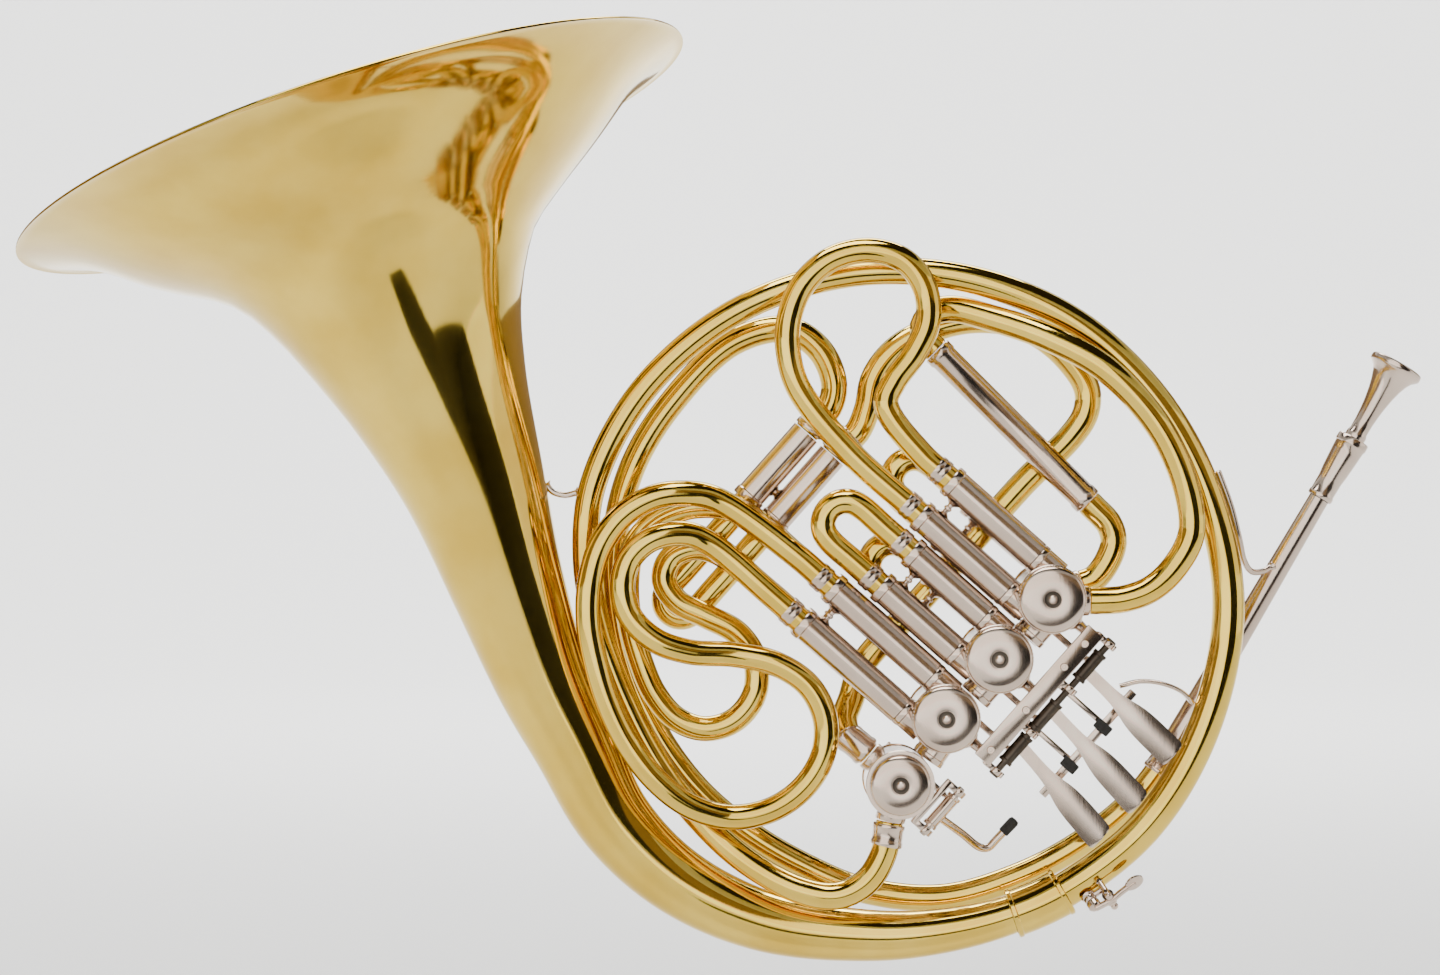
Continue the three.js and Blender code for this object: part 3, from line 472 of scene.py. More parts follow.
def add_mouthpiece():
    s, end = PIECE_START, PIECE_START + PIECE_LENGTH
    shank = [(2.6, s), (4.2, s), (4.9, s + 21.5), (4.9, s + 22.5), (4.3, s + 24)]
    cup = [
        (4.35, s + 29), (4.7, s + 34), (5.3, s + 39), (6.2, s + 44), (7.3, s + 48.5), (8.6, s + 52.2),
        (10, s + 54.6), (11.6, s + 56), (12.4, s + 56.8), (12.6, end - 2), (12.45, end - 0.8),
    ]
    rim = [(10.6 + 1.8 * math.cos(t), end - 0.9 + 0.9 * math.sin(t)) for t in np.linspace(0.2, math.pi, 12)]
    inside = [
        (8.4, end - 2.2), (7.6, end - 6), (6.4, end - 10.5), (5.1, s + 44), (3.6, s + 38), (2.4, s + 33),
        (2.0, s + 28), (2.4, s + 10),
    ]
    shape = turned(PIPE_START, PIPE, [*shank, *cup, *rim, *inside], 72, closed=True)
    nickel("mouthpiece_cup", shape, "mouthpiece", body="mouthpiece")


MAIN_OUTER, MAIN_INNER = 131.6, 115.6  # the main slide's legs, along the slides from valve 2
MAIN_TOP, MAIN_BOW, MAIN_SLEEVE = 20.0, -76.0, 42.0


def main_point(along, across):
    """A point in the main slide's layer, given from valve 2."""
    return at(1, along, across, BACK)


def add_leadpipe_branch():
    around = [
        (138.7, -39), (136, -52), (134.5, -66), (134.5, -82), (131, -98), (127, -111), (125.5, -124),
        (126, -138), (127, -152), (129, -166), (132, 180), (136.5, 166), (140.5, 152), (142.5, 138),
    ]
    way = Way([
        PIPE_START, PIPE_START - 6 * PIPE, *(ring(radius, degrees, BACK) for radius, degrees in around),
        *layer(BACK, (-78, 122.5), (-53, 128.5), (-38, 119), (-31.5, 103), (-34, 92)),
        main_point(MAIN_OUTER, MAIN_TOP + 5), main_point(MAIN_OUTER, MAIN_TOP + GAP),
    ])
    brass("leadpipe_tube", tube(way), "leadpipe_branch")
    nickel("leadpipe_collars", merge(collar(way, 7, 6), collar(way, way.length - 5, 4)))


# ---- slides and their sleeves ----
def sleeve(a, direction, length):
    """An outer slide tube with a beaded mouth."""
    profile = [
        (SLEEVE_IN, 0), (SLEEVE_OUT, 0), (SLEEVE_OUT, length - 4), (SLEEVE_OUT + 0.55, length - 3.5),
        (SLEEVE_OUT + 0.55, length - 0.6), (SLEEVE_OUT + 0.2, length), (SLEEVE_IN, length),
    ]
    return turned(a, direction, profile, SIDES, closed=True)


def sleeve_pair(a, b, direction, length, brace):
    """Two sleeves joined by a turned brace with a foot on each."""
    pa, pb = a + direction * brace, b + direction * brace
    span = pb - pa
    reach = np.linalg.norm(span)
    half = reach / 2 - SLEEVE_OUT
    mid = (pa + pb) / 2
    profile = [(0, -half), (3.2, -half), (2.4, -half + 0.7), (1.4, -half + 1.4), (1.2, -0.9), (1.9, -0.5)]
    bar = turned(mid, span, [*profile, *[(r, -s) for r, s in reversed(profile)]], 28)
    return merge(sleeve(a, direction, length), sleeve(b, direction, length), bar)


def add_main_slide():
    starts = [main_point(along, MAIN_TOP) for along in (MAIN_OUTER, MAIN_INNER)]
    sleeves = sleeve_pair(*starts, -ACROSS, MAIN_SLEEVE, 30)
    nickel("main_slide_sleeve_pair", sleeves, "main_slide_sleeves")
    middle, bow = (MAIN_OUTER + MAIN_INNER) / 2, (MAIN_OUTER - MAIN_INNER) / 2
    arc = [
        main_point(middle + bow * math.cos(math.pi * k / 6), MAIN_BOW - bow * math.sin(math.pi * k / 6))
        for k in range(7)
    ]
    way = Way([
        main_point(MAIN_OUTER, MAIN_TOP - 4), main_point(MAIN_OUTER, MAIN_BOW + 12), *arc,
        main_point(MAIN_INNER, MAIN_BOW + 12), main_point(MAIN_INNER, MAIN_TOP - 4),
    ])
    body = "main_tuning_slide"
    brass("main_slide_bow", tube(way, LEG_R, step=1.5), body, body=body)
    add_slide_collars(body, way, MAIN_SLEEVE)


def add_slide_collars(body, way, sleeve_length):
    """The ferrules where a slide's legs meet its bow, just outside the sleeves."""
    out = sleeve_length + 2
    places = (out, way.length - out)
    collars = merge(*(ferrule(way, s, 2.7, LEG_R + 0.02, 0.4, 0.2) for s in places))
    nickel(f"{body}_collars", collars, body=body)


FEED_ALONG = 41.0  # of its straight run, from valve 2


def add_feed():
    """The tube from the main slide, up over the body and down behind the valves to the change valve."""
    way = Way([
        main_point(MAIN_INNER, MAIN_TOP + GAP), main_point(MAIN_INNER, MAIN_TOP + 5),
        *layer(BACK, (-21, 81), (-16.2, 92), (-13.2, 106), (-4, 118.5), (11, 127.5), (29, 132.5), (47, 132)),
        *layer(BACK, (63, 126), (77, 114), (85, 101), (84.5, 90), (77.5, 79)),
        *(main_point(FEED_ALONG, across) for across in (70, 30, -10, -44)),
        vec(-23.5, 22.5, -41), vec(-27, 17.5, -51),
        vec(-25, 12, -58.5), at(3, STUB_END + 7, 0, REAR), at(3, STUB_END + GAP + 0.2, 0, REAR),
    ])
    brass("feed_tube", tube(way), "change_valve_feed")
    nickel("feed_collars", merge(*(collar(way, s, 6) for s in (7, 262, way.length - 7))))


def add_f_branch():
    top, foot = vec(15, REAR, 118.2), vec(84, REAR, 49.2)
    down = unit(foot - top)
    upper = Way([
        *layer(FRONT, (82.6, 4.6), (87, 4.6), (98, 5.4), (110.5, 10), (121.5, 20.5), (128.5, 35)),
        ring(138, 24, FRONT), ring(141, 36, FRONT),
        ring(141.5, 50, FRONT + 1), ring(139.5, 62, FRONT + 7), ring(138.5, 73, 2), vec(21, 7.5, 137.2),
        *layer(REAR, (12.5, 135), (8.5, 128.5), (11.1, 122.1)), top - GAP * down,
    ])
    brass("f_branch_ring_tube", tube(upper), "f_branch_ring")
    end = [(0, 0), (SLEEVE_OUT - 0.3, 0), (SLEEVE_OUT, 0.4), (SLEEVE_OUT, 4), (TUBE_R + 0.3, 4.6)]
    length = np.linalg.norm(top - foot)
    profile = [*end, *[(r, length - s) for r, s in reversed(end)]]
    straight = turned(top, down, profile, SIDES)
    nickel("f_branch_straight_tube", straight, "f_branch_straight")
    crook = Way([
        foot + GAP * down, foot + 5 * down,
        *layer(REAR, (93.5, 39.2), (95.8, 31), (92.4, 21), (86.5, 13.8), (81.3, 11.7)),
    ])
    brass("f_branch_crook_tube", tube(crook), "f_branch_crook")


# ---- valves ----
def on_axis(valve, profile, sides=64, closed=False, lobes=None):
    """Turned about a valve's axis, with distances as depths."""
    x, _, z = VALVES[valve]
    return turned(vec(x, 0, z), DEPTH, profile, sides, closed, lobes)


def stub_lines(valve):
    """The tube ends that stand out of a valve casing."""
    found = []
    for depth in (FRONT, REAR):
        if valve < 3:
            for side in (-LEG_OFFSET, LEG_OFFSET):
                found.append((at(valve, 4, side, depth), at(valve, STUB_END, side, depth)))
            here, there = VALVES[valve] + DEPTH * depth, VALVES[valve + 1] + DEPTH * depth
            down = unit(there - here)
            reach = np.linalg.norm(there - here) - CASING_R - GAP
            aside = vec(-down[2], 0, down[0]) * 5
            found.append((here + aside + down * 8, here + aside + down * reach))
    if valve == 0:
        found.append((VALVES[0] + vec(5, FRONT, -1), vec(82.3, FRONT, 4.6)))
        found.append((VALVES[0] + vec(5, REAR, 2), vec(81, REAR, 11.5)))
    if valve == 3:
        found.append((at(3, 5, 0, REAR), at(3, STUB_END, 0, REAR)))
        found.append((vec(-4.5, FRONT, -82), vec(-7.5, FRONT, -94.7)))
    return found


def add_valve(valve):
    name = f"valve_{valve + 1}"
    front, back = CASING_FRONT, CASING_BACK
    casing = [
        (BORE_R, front), (CASING_R - 0.3, front), (CASING_R, front + 0.3), (CASING_R, front + 2.2),
        (CASING_R - 0.5, front + 2.6), (CASING_R - 0.5, back - 3.2), (CASING_R, back - 2.8),
        (CASING_R, back - 0.4), (CASING_R - 0.4, back), (6.2, back), (6, back + 0.4), (6, back + 2.2),
        (5.6, back + 2.5), (3, back + 2.5), (3, back - PLATE), (BORE_R, back - PLATE),
    ]
    stubs = []
    for a, b in stub_lines(valve):
        length = np.linalg.norm(b - a)
        stubs.append(turned(a, b - a, [
            (0, 0), (TUBE_R + 0.3, 0), (TUBE_R + 0.3, length - 3), (TUBE_R + 0.65, length - 2.6),
            (TUBE_R + 0.65, length - 0.6), (TUBE_R + 0.3, length), (0, length),
        ], SIDES))
    shell = merge(on_axis(valve, casing, closed=True), *stubs)
    nickel(f"{name}_casing_shell", shell, f"{name}_casing")

    lip, rim = front - GAP, CAP_R[valve]
    stud = [(0, lip - 5.6), (1.3, lip - 5.5), (1.7, lip - 5.1), (1.8, lip - 4.1), (0, lip - 4.1)]
    nickel(f"{name}_cap_screw", on_axis(valve, stud, 40))
    well = [(1.9, lip - 4.6), (2.9, lip - 4.4), (3.9, lip - 4.6), (3.9, lip - 4.1), (1.9, lip - 4.1)]
    # The ring round the cap screw is near black steel: painted shade in the cap's recess.
    steel(f"{name}_cap_well", on_axis(valve, well, 40, closed=True), material=PAINTED_SHADE_STEEL)
    cap = [
        (0, lip - 4.0), (4.1, lip - 4.0), (4.1, lip - 5.2), (4.6, lip - 5.3), (rim - 3.6, lip - 4.9),
        (rim - 1.4, lip - 4.4), (rim - 0.3, lip - 3.6), (rim, lip - 2.9), (rim, lip - 0.4), (rim - 0.3, lip),
        (0, lip),
    ]
    nickel(f"{name}_cap_disc", on_axis(valve, cap, 96), f"{name}_cap")
    knurl = [(rim - 0.2, lip - 2.8), (rim + 0.3, lip - 2.5), (rim + 0.3, lip - 0.9), (rim - 0.2, lip - 0.6)]
    teeth = on_axis(valve, knurl, 4 * KNURLS, True, lambda a: 1 + 0.006 * np.sign(np.sin(KNURLS * a)))
    nickel(f"{name}_cap_knurl", teeth, sharp=20)
    add_rotor(valve, name)


STRING_SIDE = (-1, -1, 1, 1)  # the side of each hub that its string passes
HUB_FRONT = CASING_BACK + 4.5 + GAP
HUB_BACK = HUB_FRONT + 14.5
ARM_REACH = 7.5


def add_rotor(valve, name):
    """The turning pieces behind a casing: the hub, its stop arm and the string's clamp screw."""
    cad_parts[f"{name}_rotor"].data.materials[0] = STEEL
    hub = on_axis(valve, [
        (0, HUB_FRONT), (HUB_R + 0.6, HUB_FRONT), (HUB_R + 0.8, HUB_FRONT + 0.3),
        (HUB_R + 0.8, HUB_FRONT + 1.4), (HUB_R, HUB_FRONT + 2.2), (HUB_R, STRING_Y - 2.2),
        (HUB_R - 0.3, STRING_Y - 1.8), (HUB_R - 0.3, STRING_Y + 1.8), (HUB_R, STRING_Y + 2.2),
        (HUB_R, HUB_BACK - 0.6), (HUB_R - 0.6, HUB_BACK), (2.6, HUB_BACK), (2.4, HUB_BACK - 0.8),
        (1.9, HUB_BACK - 0.8), (1.7, HUB_BACK - 0.2), (0, HUB_BACK - 0.2),
    ], 40)
    away = -STRING_SIDE[valve]
    along = ARM_REACH if valve < 3 else -ARM_REACH
    level = HUB_FRONT + 1.2
    way = line(at(valve, 0, 0, level), at(valve, along, away * ARM_REACH, level))
    end = way.length
    profile = [(0, 0), (1.9, 0.01), (1.5, 5), (1.15, 8.2), (1.15, end - 0.5), (0.7, end), (0, end)]
    arm = sweep(way, profile, 20)
    clamp = screw(at(valve, 0, away * (HUB_R - 0.6), STRING_Y), ACROSS * away, 1.7, 1.4)
    steel(f"{name}_hub", merge(hub, arm, clamp), f"{name}_stop_arm", body=f"{name}_rotor")


# ---- valve slides ----
SLIDES = {  # valve, depth, length of the sleeves
    "f1": (0, FRONT, 52), "f2": (1, FRONT, 44), "f3": (2, FRONT, 60),
    "bb1": (0, REAR, 38), "bb2": (1, REAR, 30), "bb3": (2, REAR, 60),
}
OMEGA = layer(
    FRONT, (-9.2, 93), (-5.5, 103.5), (3.5, 116), (9.7, 130.5), (8.2, 146), (-1, 158), (-17.2, 162.6),
    (-34.2, 158.5), (-46.8, 147), (-53, 131.4), (-53.2, 115.5), (-48.3, 99.8),
)
KIDNEY = [  # it stands further forward near the bell, to clear it when pulled
    *layer(FRONT, (-84.5, 49.8)),
    *layer(FRONT - 3, (-97.7, 53)),
    *layer(FRONT - 5, (-113.5, 51.4), (-127.6, 43.3), (-137.7, 29.7), (-142.6, 13), (-143.2, -5)),
    *layer(FRONT - 5, (-140, -23), (-134.5, -41), (-125.5, -59.5), (-112.3, -76.5)),
    *layer(FRONT - 3, (-97, -88)),
    *layer(FRONT, (-79.6, -93), (-61.8, -90), (-47, -80.2), (-37.8, -65.4), (-36.7, -48.7), (-44, -33.8)),
    *layer(FRONT, (-59, -23.8), (-77.3, -19.8)),
    *layer(FRONT - 3, (-97.7, -18.4)),
    *layer(FRONT - 5, (-113.3, -13), (-124.3, -2.5), (-128, 10.6), (-125, 23), (-115.8, 32)),
    *layer(FRONT - 3, (-102.2, 35)),
    *layer(FRONT, (-89.8, 31.2)),
]
NESTED = layer(
    REAR, (-70.5, 42.4), (-84, 47), (-99, 46.5), (-113, 40.5), (-123.2, 29), (-126.6, 13.4), (-125.4, -5),
    (-120.6, -23), (-114, -38.5), (-104, -50), (-91, -54.6), (-77.5, -50.6), (-68.5, -39), (-68, -23.4),
    (-76.2, -10.8), (-90.6, -3), (-103.6, 3.6), (-109.8, 14), (-106, 24), (-95.5, 28.2), (-84.5, 25.6),
)


def round_bow(valve, centre, depth):
    """A half circle that joins a slide's legs."""
    turns = [math.pi * k / 6 for k in range(7)]
    return [at(valve, centre + LEG_OFFSET * math.sin(t), LEG_OFFSET * math.cos(t), depth) for t in turns]


def add_slide(key, crook, legs):
    """A valve slide with the points of its crook, and how far along each leg goes straight."""
    valve, depth, sleeve_length = SLIDES[key]
    feet = [at(valve, STUB_END + GAP, across, depth) for across in (LEG_OFFSET, -LEG_OFFSET)]
    pair = sleeve_pair(*feet, ALONG, sleeve_length, sleeve_length - 8)
    nickel(f"{key}_sleeve_pair", pair, f"{key}_sleeves")
    straight = [STUB_END + 6, STUB_END + sleeve_length - 1, STUB_END + sleeve_length + 4]
    way = Way([
        *(at(valve, along, LEG_OFFSET, depth) for along in straight), at(valve, legs[0], LEG_OFFSET, depth),
        *crook, at(valve, legs[1], -LEG_OFFSET, depth),
        *(at(valve, along, -LEG_OFFSET, depth) for along in reversed(straight)),
    ])
    body = f"{key}_slide"
    brass(f"{key}_slide_tube", tube(way, LEG_R, step=2), body, body=body)
    add_slide_collars(body, way, sleeve_length - 2)


# ---- levers ----
# across at its hinge, across at its tip, along at its tip, across at its crank
LEVERS = ((22.5, 20, -90, 27.3), (-1.5, -7, -93, -8.5), (-23, -30, -90.5, -27.3))
HUB_ACROSS = (35.8, 0.0, -35.8)  # of valves 1 to 3, from valve 2
BAR, BAR_END = 1.5, 12.0  # the string bar's half thickness, and its end along
STRING_CLEAR = HUB_R + STRING_R + 0.25
PEGS = (-11.0, 10.0)  # where the string is tied, along
LEVER_THICK = 1.8
BLADE_HALF, ARM_HALF, CROWN = 6.7, 2.9, 0.5  # half widths of the touch piece and arm, and its rise
BLADE_ROWS = 44


def blade(valve, root, tip, start, reach, depth):
    """A lever's arm and touch piece: it widens to a squared paddle that is slightly crowned."""
    points, faces = [], []
    columns = np.linspace(-1, 1, 9)
    for i in range(BLADE_ROWS + 1):
        u = 1 - (1 - i / BLADE_ROWS) ** 1.4
        along = start + (reach - start) * u
        centre = root + (tip - root) * u
        swell = 1 / (1 + math.exp(-(u - 0.44) * 14))
        corner = max(0.0, 1 - max(0, (u - 0.93) / 0.07) ** 4) ** 0.25
        half = max(0.25, (ARM_HALF + (BLADE_HALF - ARM_HALF) * swell) * corner)
        for c in columns:
            crown = CROWN * (1 - c * c) * swell
            points.append(at(valve, along, centre + half * c, depth - LEVER_THICK / 2 + 0.45 - crown))
        for c in columns[::-1]:
            points.append(at(valve, along, centre + half * c, depth + LEVER_THICK / 2))
    n = 2 * len(columns)
    for i in range(BLADE_ROWS):
        for k in range(n):
            j = (k + 1) % n
            faces.append([i * n + k, i * n + j, (i + 1) * n + j, (i + 1) * n + k])
    faces.append(list(range(n)))
    faces.append(list(range(BLADE_ROWS * n, (BLADE_ROWS + 1) * n)))
    return np.array(points), faces


def hinge_barrel(valve, along, ends, depth):
    """The sleeve that a lever turns on, with a turned ring at each end."""
    a, b = (at(valve, along, across, depth) for across in ends)
    length = np.linalg.norm(b - a)
    inner = ROD_R + 0.45
    profile = [
        (inner, 0), (3.4, 0), (3.4, 1.4), (3.0, 1.9), (3.0, length - 1.9), (3.4, length - 1.4), (3.4, length),
        (inner, length),
    ]
    return turned(a, b - a, profile, 36, closed=True)


def crank(valve, along, depth, across):
    """The arm from a lever's sleeve to the rear, and the string bar beside the hub."""
    top = STRING_Y + BAR
    return merge(
        block(valve, (along - BAR, along + BAR), (across - BAR, across + BAR), (depth + 2, top)),
        block(valve, (along - BAR, BAR_END), (across - BAR, across + BAR), (STRING_Y - BAR, top)),
    )


def pegs(valve, across, side, centre):
    """The pins that a string is tied to, with a screw head on the bar over each."""
    near = centre + side * (STRING_CLEAR + STRING_R + GAP)
    parts = []
    for along in PEGS:
        parts.append(rod(at(valve, along, near, STRING_Y), at(valve, along, across, STRING_Y), 1.0, 16))
        parts.append(screw(at(valve, along, across, STRING_Y + BAR), DEPTH, 1.3, 0.7))
    return parts


def string(name, valve, side, centre, body, node):
    """The run of a valve string between its pegs, beside the hub."""
    across = centre + side * STRING_CLEAR
    way = line(at(valve, PEGS[0], across, STRING_Y), at(valve, PEGS[1], across, STRING_Y))
    braid = tube(way, STRING_R, step=0.3, sides=12)
    piece(name, braid, CORD, body, "cord", node)


BARREL_HALF = 8


def add_finger_lever(index):
    root, tip, reach, crank_at = LEVERS[index]
    name = f"finger_lever_{index + 1}"
    mid = (root + crank_at) / 2
    barrel = hinge_barrel(1, LEVER_ALONG, (mid - BARREL_HALF, mid + BARREL_HALF), LEVER_DEPTH)
    # The barrel is near black steel: painted shade along the lever hinge line.
    steel(f"{name}_barrel", barrel, body=name, material=PAINTED_SHADE_STEEL)
    shape = merge(
        blade(1, root, tip, LEVER_ALONG - 2.6, reach, LEVER_DEPTH),
        crank(1, LEVER_ALONG, LEVER_DEPTH, crank_at),
        *pegs(1, crank_at, STRING_SIDE[index], HUB_ACROSS[index]),
    )
    nickel(f"{name}_spoon", shape, name, body=name)
    string(f"{name}_cord", 1, STRING_SIDE[index], HUB_ACROSS[index], name, f"lever_{index + 1}_string")


THUMB_CRANK, THUMB_TOUCH = 8.5, 17  # the crank's place across, and the touch piece's depth


def add_thumb_lever():
    touch = THUMB_TOUCH
    shape = merge(
        hinge_barrel(3, THUMB_ALONG, (-6, 12), THUMB_DEPTH),
        crank(3, THUMB_ALONG, THUMB_DEPTH, THUMB_CRANK),
        *pegs(3, THUMB_CRANK, STRING_SIDE[3], 0),
        tube(Way([
            at(3, THUMB_ALONG - 1, 0, THUMB_DEPTH + 2.4), at(3, THUMB_ALONG - 15, 1, 9.7),
            at(3, THUMB_ALONG - 26, 1.6, 16), at(3, THUMB_ALONG - 29, 4, touch),
            at(3, THUMB_ALONG - 29.3, 9, touch), at(3, THUMB_ALONG - 29.6, 16.5, touch),
        ]), 1.9, step=1.5, sides=24),
    )
    nickel("thumb_lever_arm", shape, "thumb_lever", body="thumb_lever")
    a, b = at(3, THUMB_ALONG - 29.5, 13.5, touch), at(3, THUMB_ALONG - 29.8, 22, touch)
    sock = turned(a, b - a, [(2.0, 0), (2.5, 0.3), (2.6, 7), (2.0, 8.3), (0, 8.6), (0, 0.2)], 28)
    rubber("thumb_lever_tip", sock, body="thumb_lever")
    string("thumb_lever_cord", 3, STRING_SIDE[3], 0, "thumb_lever", "thumb_string")


# ---- rack, rods, stop rail ----
def eye(valve, along, across, depth, width, radius):
    """The round end of an ear, open for the hinge rod."""
    start, bore = at(valve, along, across, depth), ROD_R + 0.15
    return turned(start, ACROSS, [
        (bore, 0), (radius - 0.2, 0), (radius, 0.3), (radius, width - 0.3), (radius - 0.2, width),
        (bore, width),
    ], 32, closed=True)


PIN_ENDS = (-41, 40.7)


def add_rack():
    along, depth = LEVER_ALONG, LEVER_DEPTH
    parts = [block(1, (along + 4.5, along + 7.5), (-40, 39.7), (depth - 6, depth + 5), 0.6)]
    parts.append(block(1, (along + 4.6, along + 13.4), (-39, 38.7), (depth - 7, depth - 5.2), 0.5))
    for ear in (38.2, 11.3, -15.1, -38.5):
        for lo, hi in ((along + 2.2, along + 6), (along - 3.5, along - 2.2)):
            parts.append(block(1, (lo, hi), (ear - 1.4, ear + 1.4), (depth - 3.4, depth + 3.4)))
        parts.append(eye(1, along, ear - 1.4, depth, 2.8, 3.5))
    for across in HUB_ACROSS:
        start = at(1, -CASING_R - 0.6, across, depth)
        way = line(start, at(1, along + 6, across, depth))
        end = way.length
        parts.append(sweep(way, [
            (0, 0), (4.2, 0), (4.2, 1), (2.6, 2.2), (2.2, end / 2), (2.6, end - 3), (3.4, end - 1.8),
            (3.4, end), (0, end),
        ], 28))
    for across in (31, 17, -9, -33):
        parts.append(screw(at(1, along + 9, across, depth - 7), -DEPTH, 1.8, 0.8))
    nickel("lever_rack_frame", merge(*parts), "lever_rack")
    low, high = (at(1, along, across, depth) for across in PIN_ENDS)
    pin = rod(low, high, ROD_R, 24)
    head = [(0, -1.2), (2.5, -1.2), (2.5, -0.3), (2.0, 0), (0, 0)]
    heads = [turned(low, -ACROSS, head, 24), turned(high, ACROSS, head, 24)]
    # The hinge pin is near black steel: painted shade along the lever hinge line.
    steel("lever_hinge_pin", merge(pin, *heads), "lever_rod", material=PAINTED_SHADE_STEEL)


def add_thumb_bracket():
    along, depth = THUMB_ALONG, THUMB_DEPTH
    parts = [block(3, (-19, -CASING_R - 0.6), (-10, 16), (depth - 3.5, depth + 3.5), 0.6)]
    for low, high in ((-10, -6.9), (12.9, 16)):
        parts.append(block(3, (along + 1.5, -17), (low, high), (depth - 3.4, depth + 3.4)))
        parts.append(eye(3, along, low, depth, 3.1, 3.4))
    nickel("thumb_bracket_frame", merge(*parts), "thumb_bracket")
    pin = rod(at(3, along, -11, depth), at(3, along, 17, depth), ROD_R, 24)
    steel("thumb_hinge_pin", pin, "thumb_rod")


def add_stop_rail():
    along, depth = LEVER_ALONG, LEVER_DEPTH
    rail, behind = along - 24, depth + 10
    parts = [block(1, (rail - 2, rail + 2), (-33, 30), (behind, behind + 2), 0.5)]
    for across in (9.7, -12.4):
        wide = (across - 1.3, across + 1.3)
        parts.append(block(1, (rail + 1, along + 4), wide, (depth + 10.2, depth + 11.8)))
        parts.append(block(1, (along + 1, along + 4.1), wide, (depth + 4, depth + 11)))
    nickel("stop_rail_bar", merge(*parts), "stop_rail")
    # half length, width, front and low ends: one pad behind each lever, then one in each gap between them
    rows = ((2, 7, depth + 6.5, (18, -7.2, -29.3)), (4, 5, depth + 7.5, (6, -17)))
    pads = [
        block(1, (rail - half, rail + half), (low, low + width), (front, behind - GAP), 0.8)
        for half, width, front, lows in rows for low in lows
    ]
    rubber("stop_rail_felt", merge(*pads), "stop_bumper")


# ---- finger hook, water key, braces ----
def ribbon(way, half_width, thick, step=1.0):
    """A strap of rounded section along a curve, wide in depth."""
    stations = stretch(0, way.length, step)
    centre, side, deep = way.frames(stations)
    turns = np.linspace(0, 2 * math.pi, 24, endpoint=False)

    def power(x, p):
        return np.sign(x) * np.abs(x) ** p

    u, v = power(np.cos(turns), 0.5), power(np.sin(turns), 0.7)
    points, faces = [], []
    for i, (c, n, b) in enumerate(zip(centre, side, deep)):
        edge = min(1.0, 0.55 + 0.45 * min(i, len(stations) - 1 - i) / 4)
        points.extend(c + thick / 2 * v[:, None] * n + half_width * edge * u[:, None] * b)
    n = len(turns)
    for i in range(len(stations) - 1):
        for k in range(n):
            j = (k + 1) % n
            faces.append([i * n + k, i * n + j, (i + 1) * n + j, (i + 1) * n + k])
    faces.append(list(range(n)))
    faces.append(list(range((len(stations) - 1) * n, len(stations) * n)))
    return np.array(points), faces


def add_finger_hook():
    spine = layer(0, (130.2, -43), (125.5, -38), (116.5, -34.2), (107, -33.2), (98, -35.2))
    centre = vec(114, 0, -52)
    middle = [p + unit(p - centre) * 0.85 for p in spine]
    nickel("finger_hook_strap", ribbon(Way(middle), 4.5, 2.1), "finger_hook")


KEY_FROM_BELL = 21.0  # along the air way, past the end of the bell
KEY_TURN = 40.0  # degrees toward the front


def add_water_key():
    spot_at = AIR_WAY.point(BELL_LENGTH + KEY_FROM_BELL)[0]
    radial = unit(spot_at * vec(1, 0, 1))
    side = vec(-radial[2], 0, radial[0])
    turn = math.radians(KEY_TURN)
    out = radial * math.cos(turn) - DEPTH * math.sin(turn)
    wide = np.cross(side, out)
    base = spot_at + out * (TAIL_R + 1.2)

    def spot(outward, sideways, depth):
        return base + out * outward + side * sideways + wide * depth

    nipple = turned(spot(0, 0, 0), out, [
        (1.6, -0.2), (3.6, -0.2), (3.4, 0.6), (2.9, 1.2), (2.9, 2.8), (2.5, 3.4), (1.6, 3.4),
    ], 32, closed=True)
    ears = [rod(spot(0, 7.5, depth), spot(8.6, 7.5, depth), 1.5, 20) for depth in (-5, 5)]
    pin = rod(spot(6.6, 7.5, -6.6), spot(6.6, 7.5, 6.6), 1.1, 20)
    foot = rod(spot(-0.1, 7.5, -6.4), spot(-0.1, 7.5, 6.4), 1.5, 20)
    land = rod(spot(0.9, -1, 0), spot(0.9, 8, 0), 1.6, 20)
    knobs = [ball(spot(8.6, 7.5, depth), 1.75) for depth in (-5, 5)]
    saddle = merge(nipple, *ears, pin, foot, land, *knobs)
    nickel("water_key_seat", saddle, "water_key_saddle")
    barrel = turned(spot(6.6, 7.5, -3.1), wide, [
        (1.5, 0), (2.7, 0), (2.7, 1), (2.4, 1.4), (2.4, 4.8), (2.7, 5.2), (2.7, 6.2), (1.5, 6.2),
    ], 32, closed=True)
    way = Way([spot(6.9, 21, 0), spot(7.4, 14, 0), spot(8.2, 7.5, 0), spot(7.4, -0.5, 0)])
    arm = tube(way, 1.5, sides=20)
    cup = turned(spot(3.8, 0, 0), out, [(0, 0), (2.6, 0), (3.1, 0.4), (3.1, 2.8), (2.4, 3.6), (0, 3.8)], 32)
    disc = [(0, 0), (4.2, 0), (4.7, 0.5), (4.6, 1.2), (3.6, 1.7), (0, 1.2)]
    touch = turned(spot(6.2, 20.5, 0), out, disc, 36)
    nickel("water_key_arm", merge(barrel, arm, cup, touch), "water_key_lever", body="water_key_lever")


def brace_radius(distance, reach, spread):
    """A brace's radius at a distance from the tube that it stands on."""
    return 1.4 + spread * max(0, 1 - distance / reach) ** 2


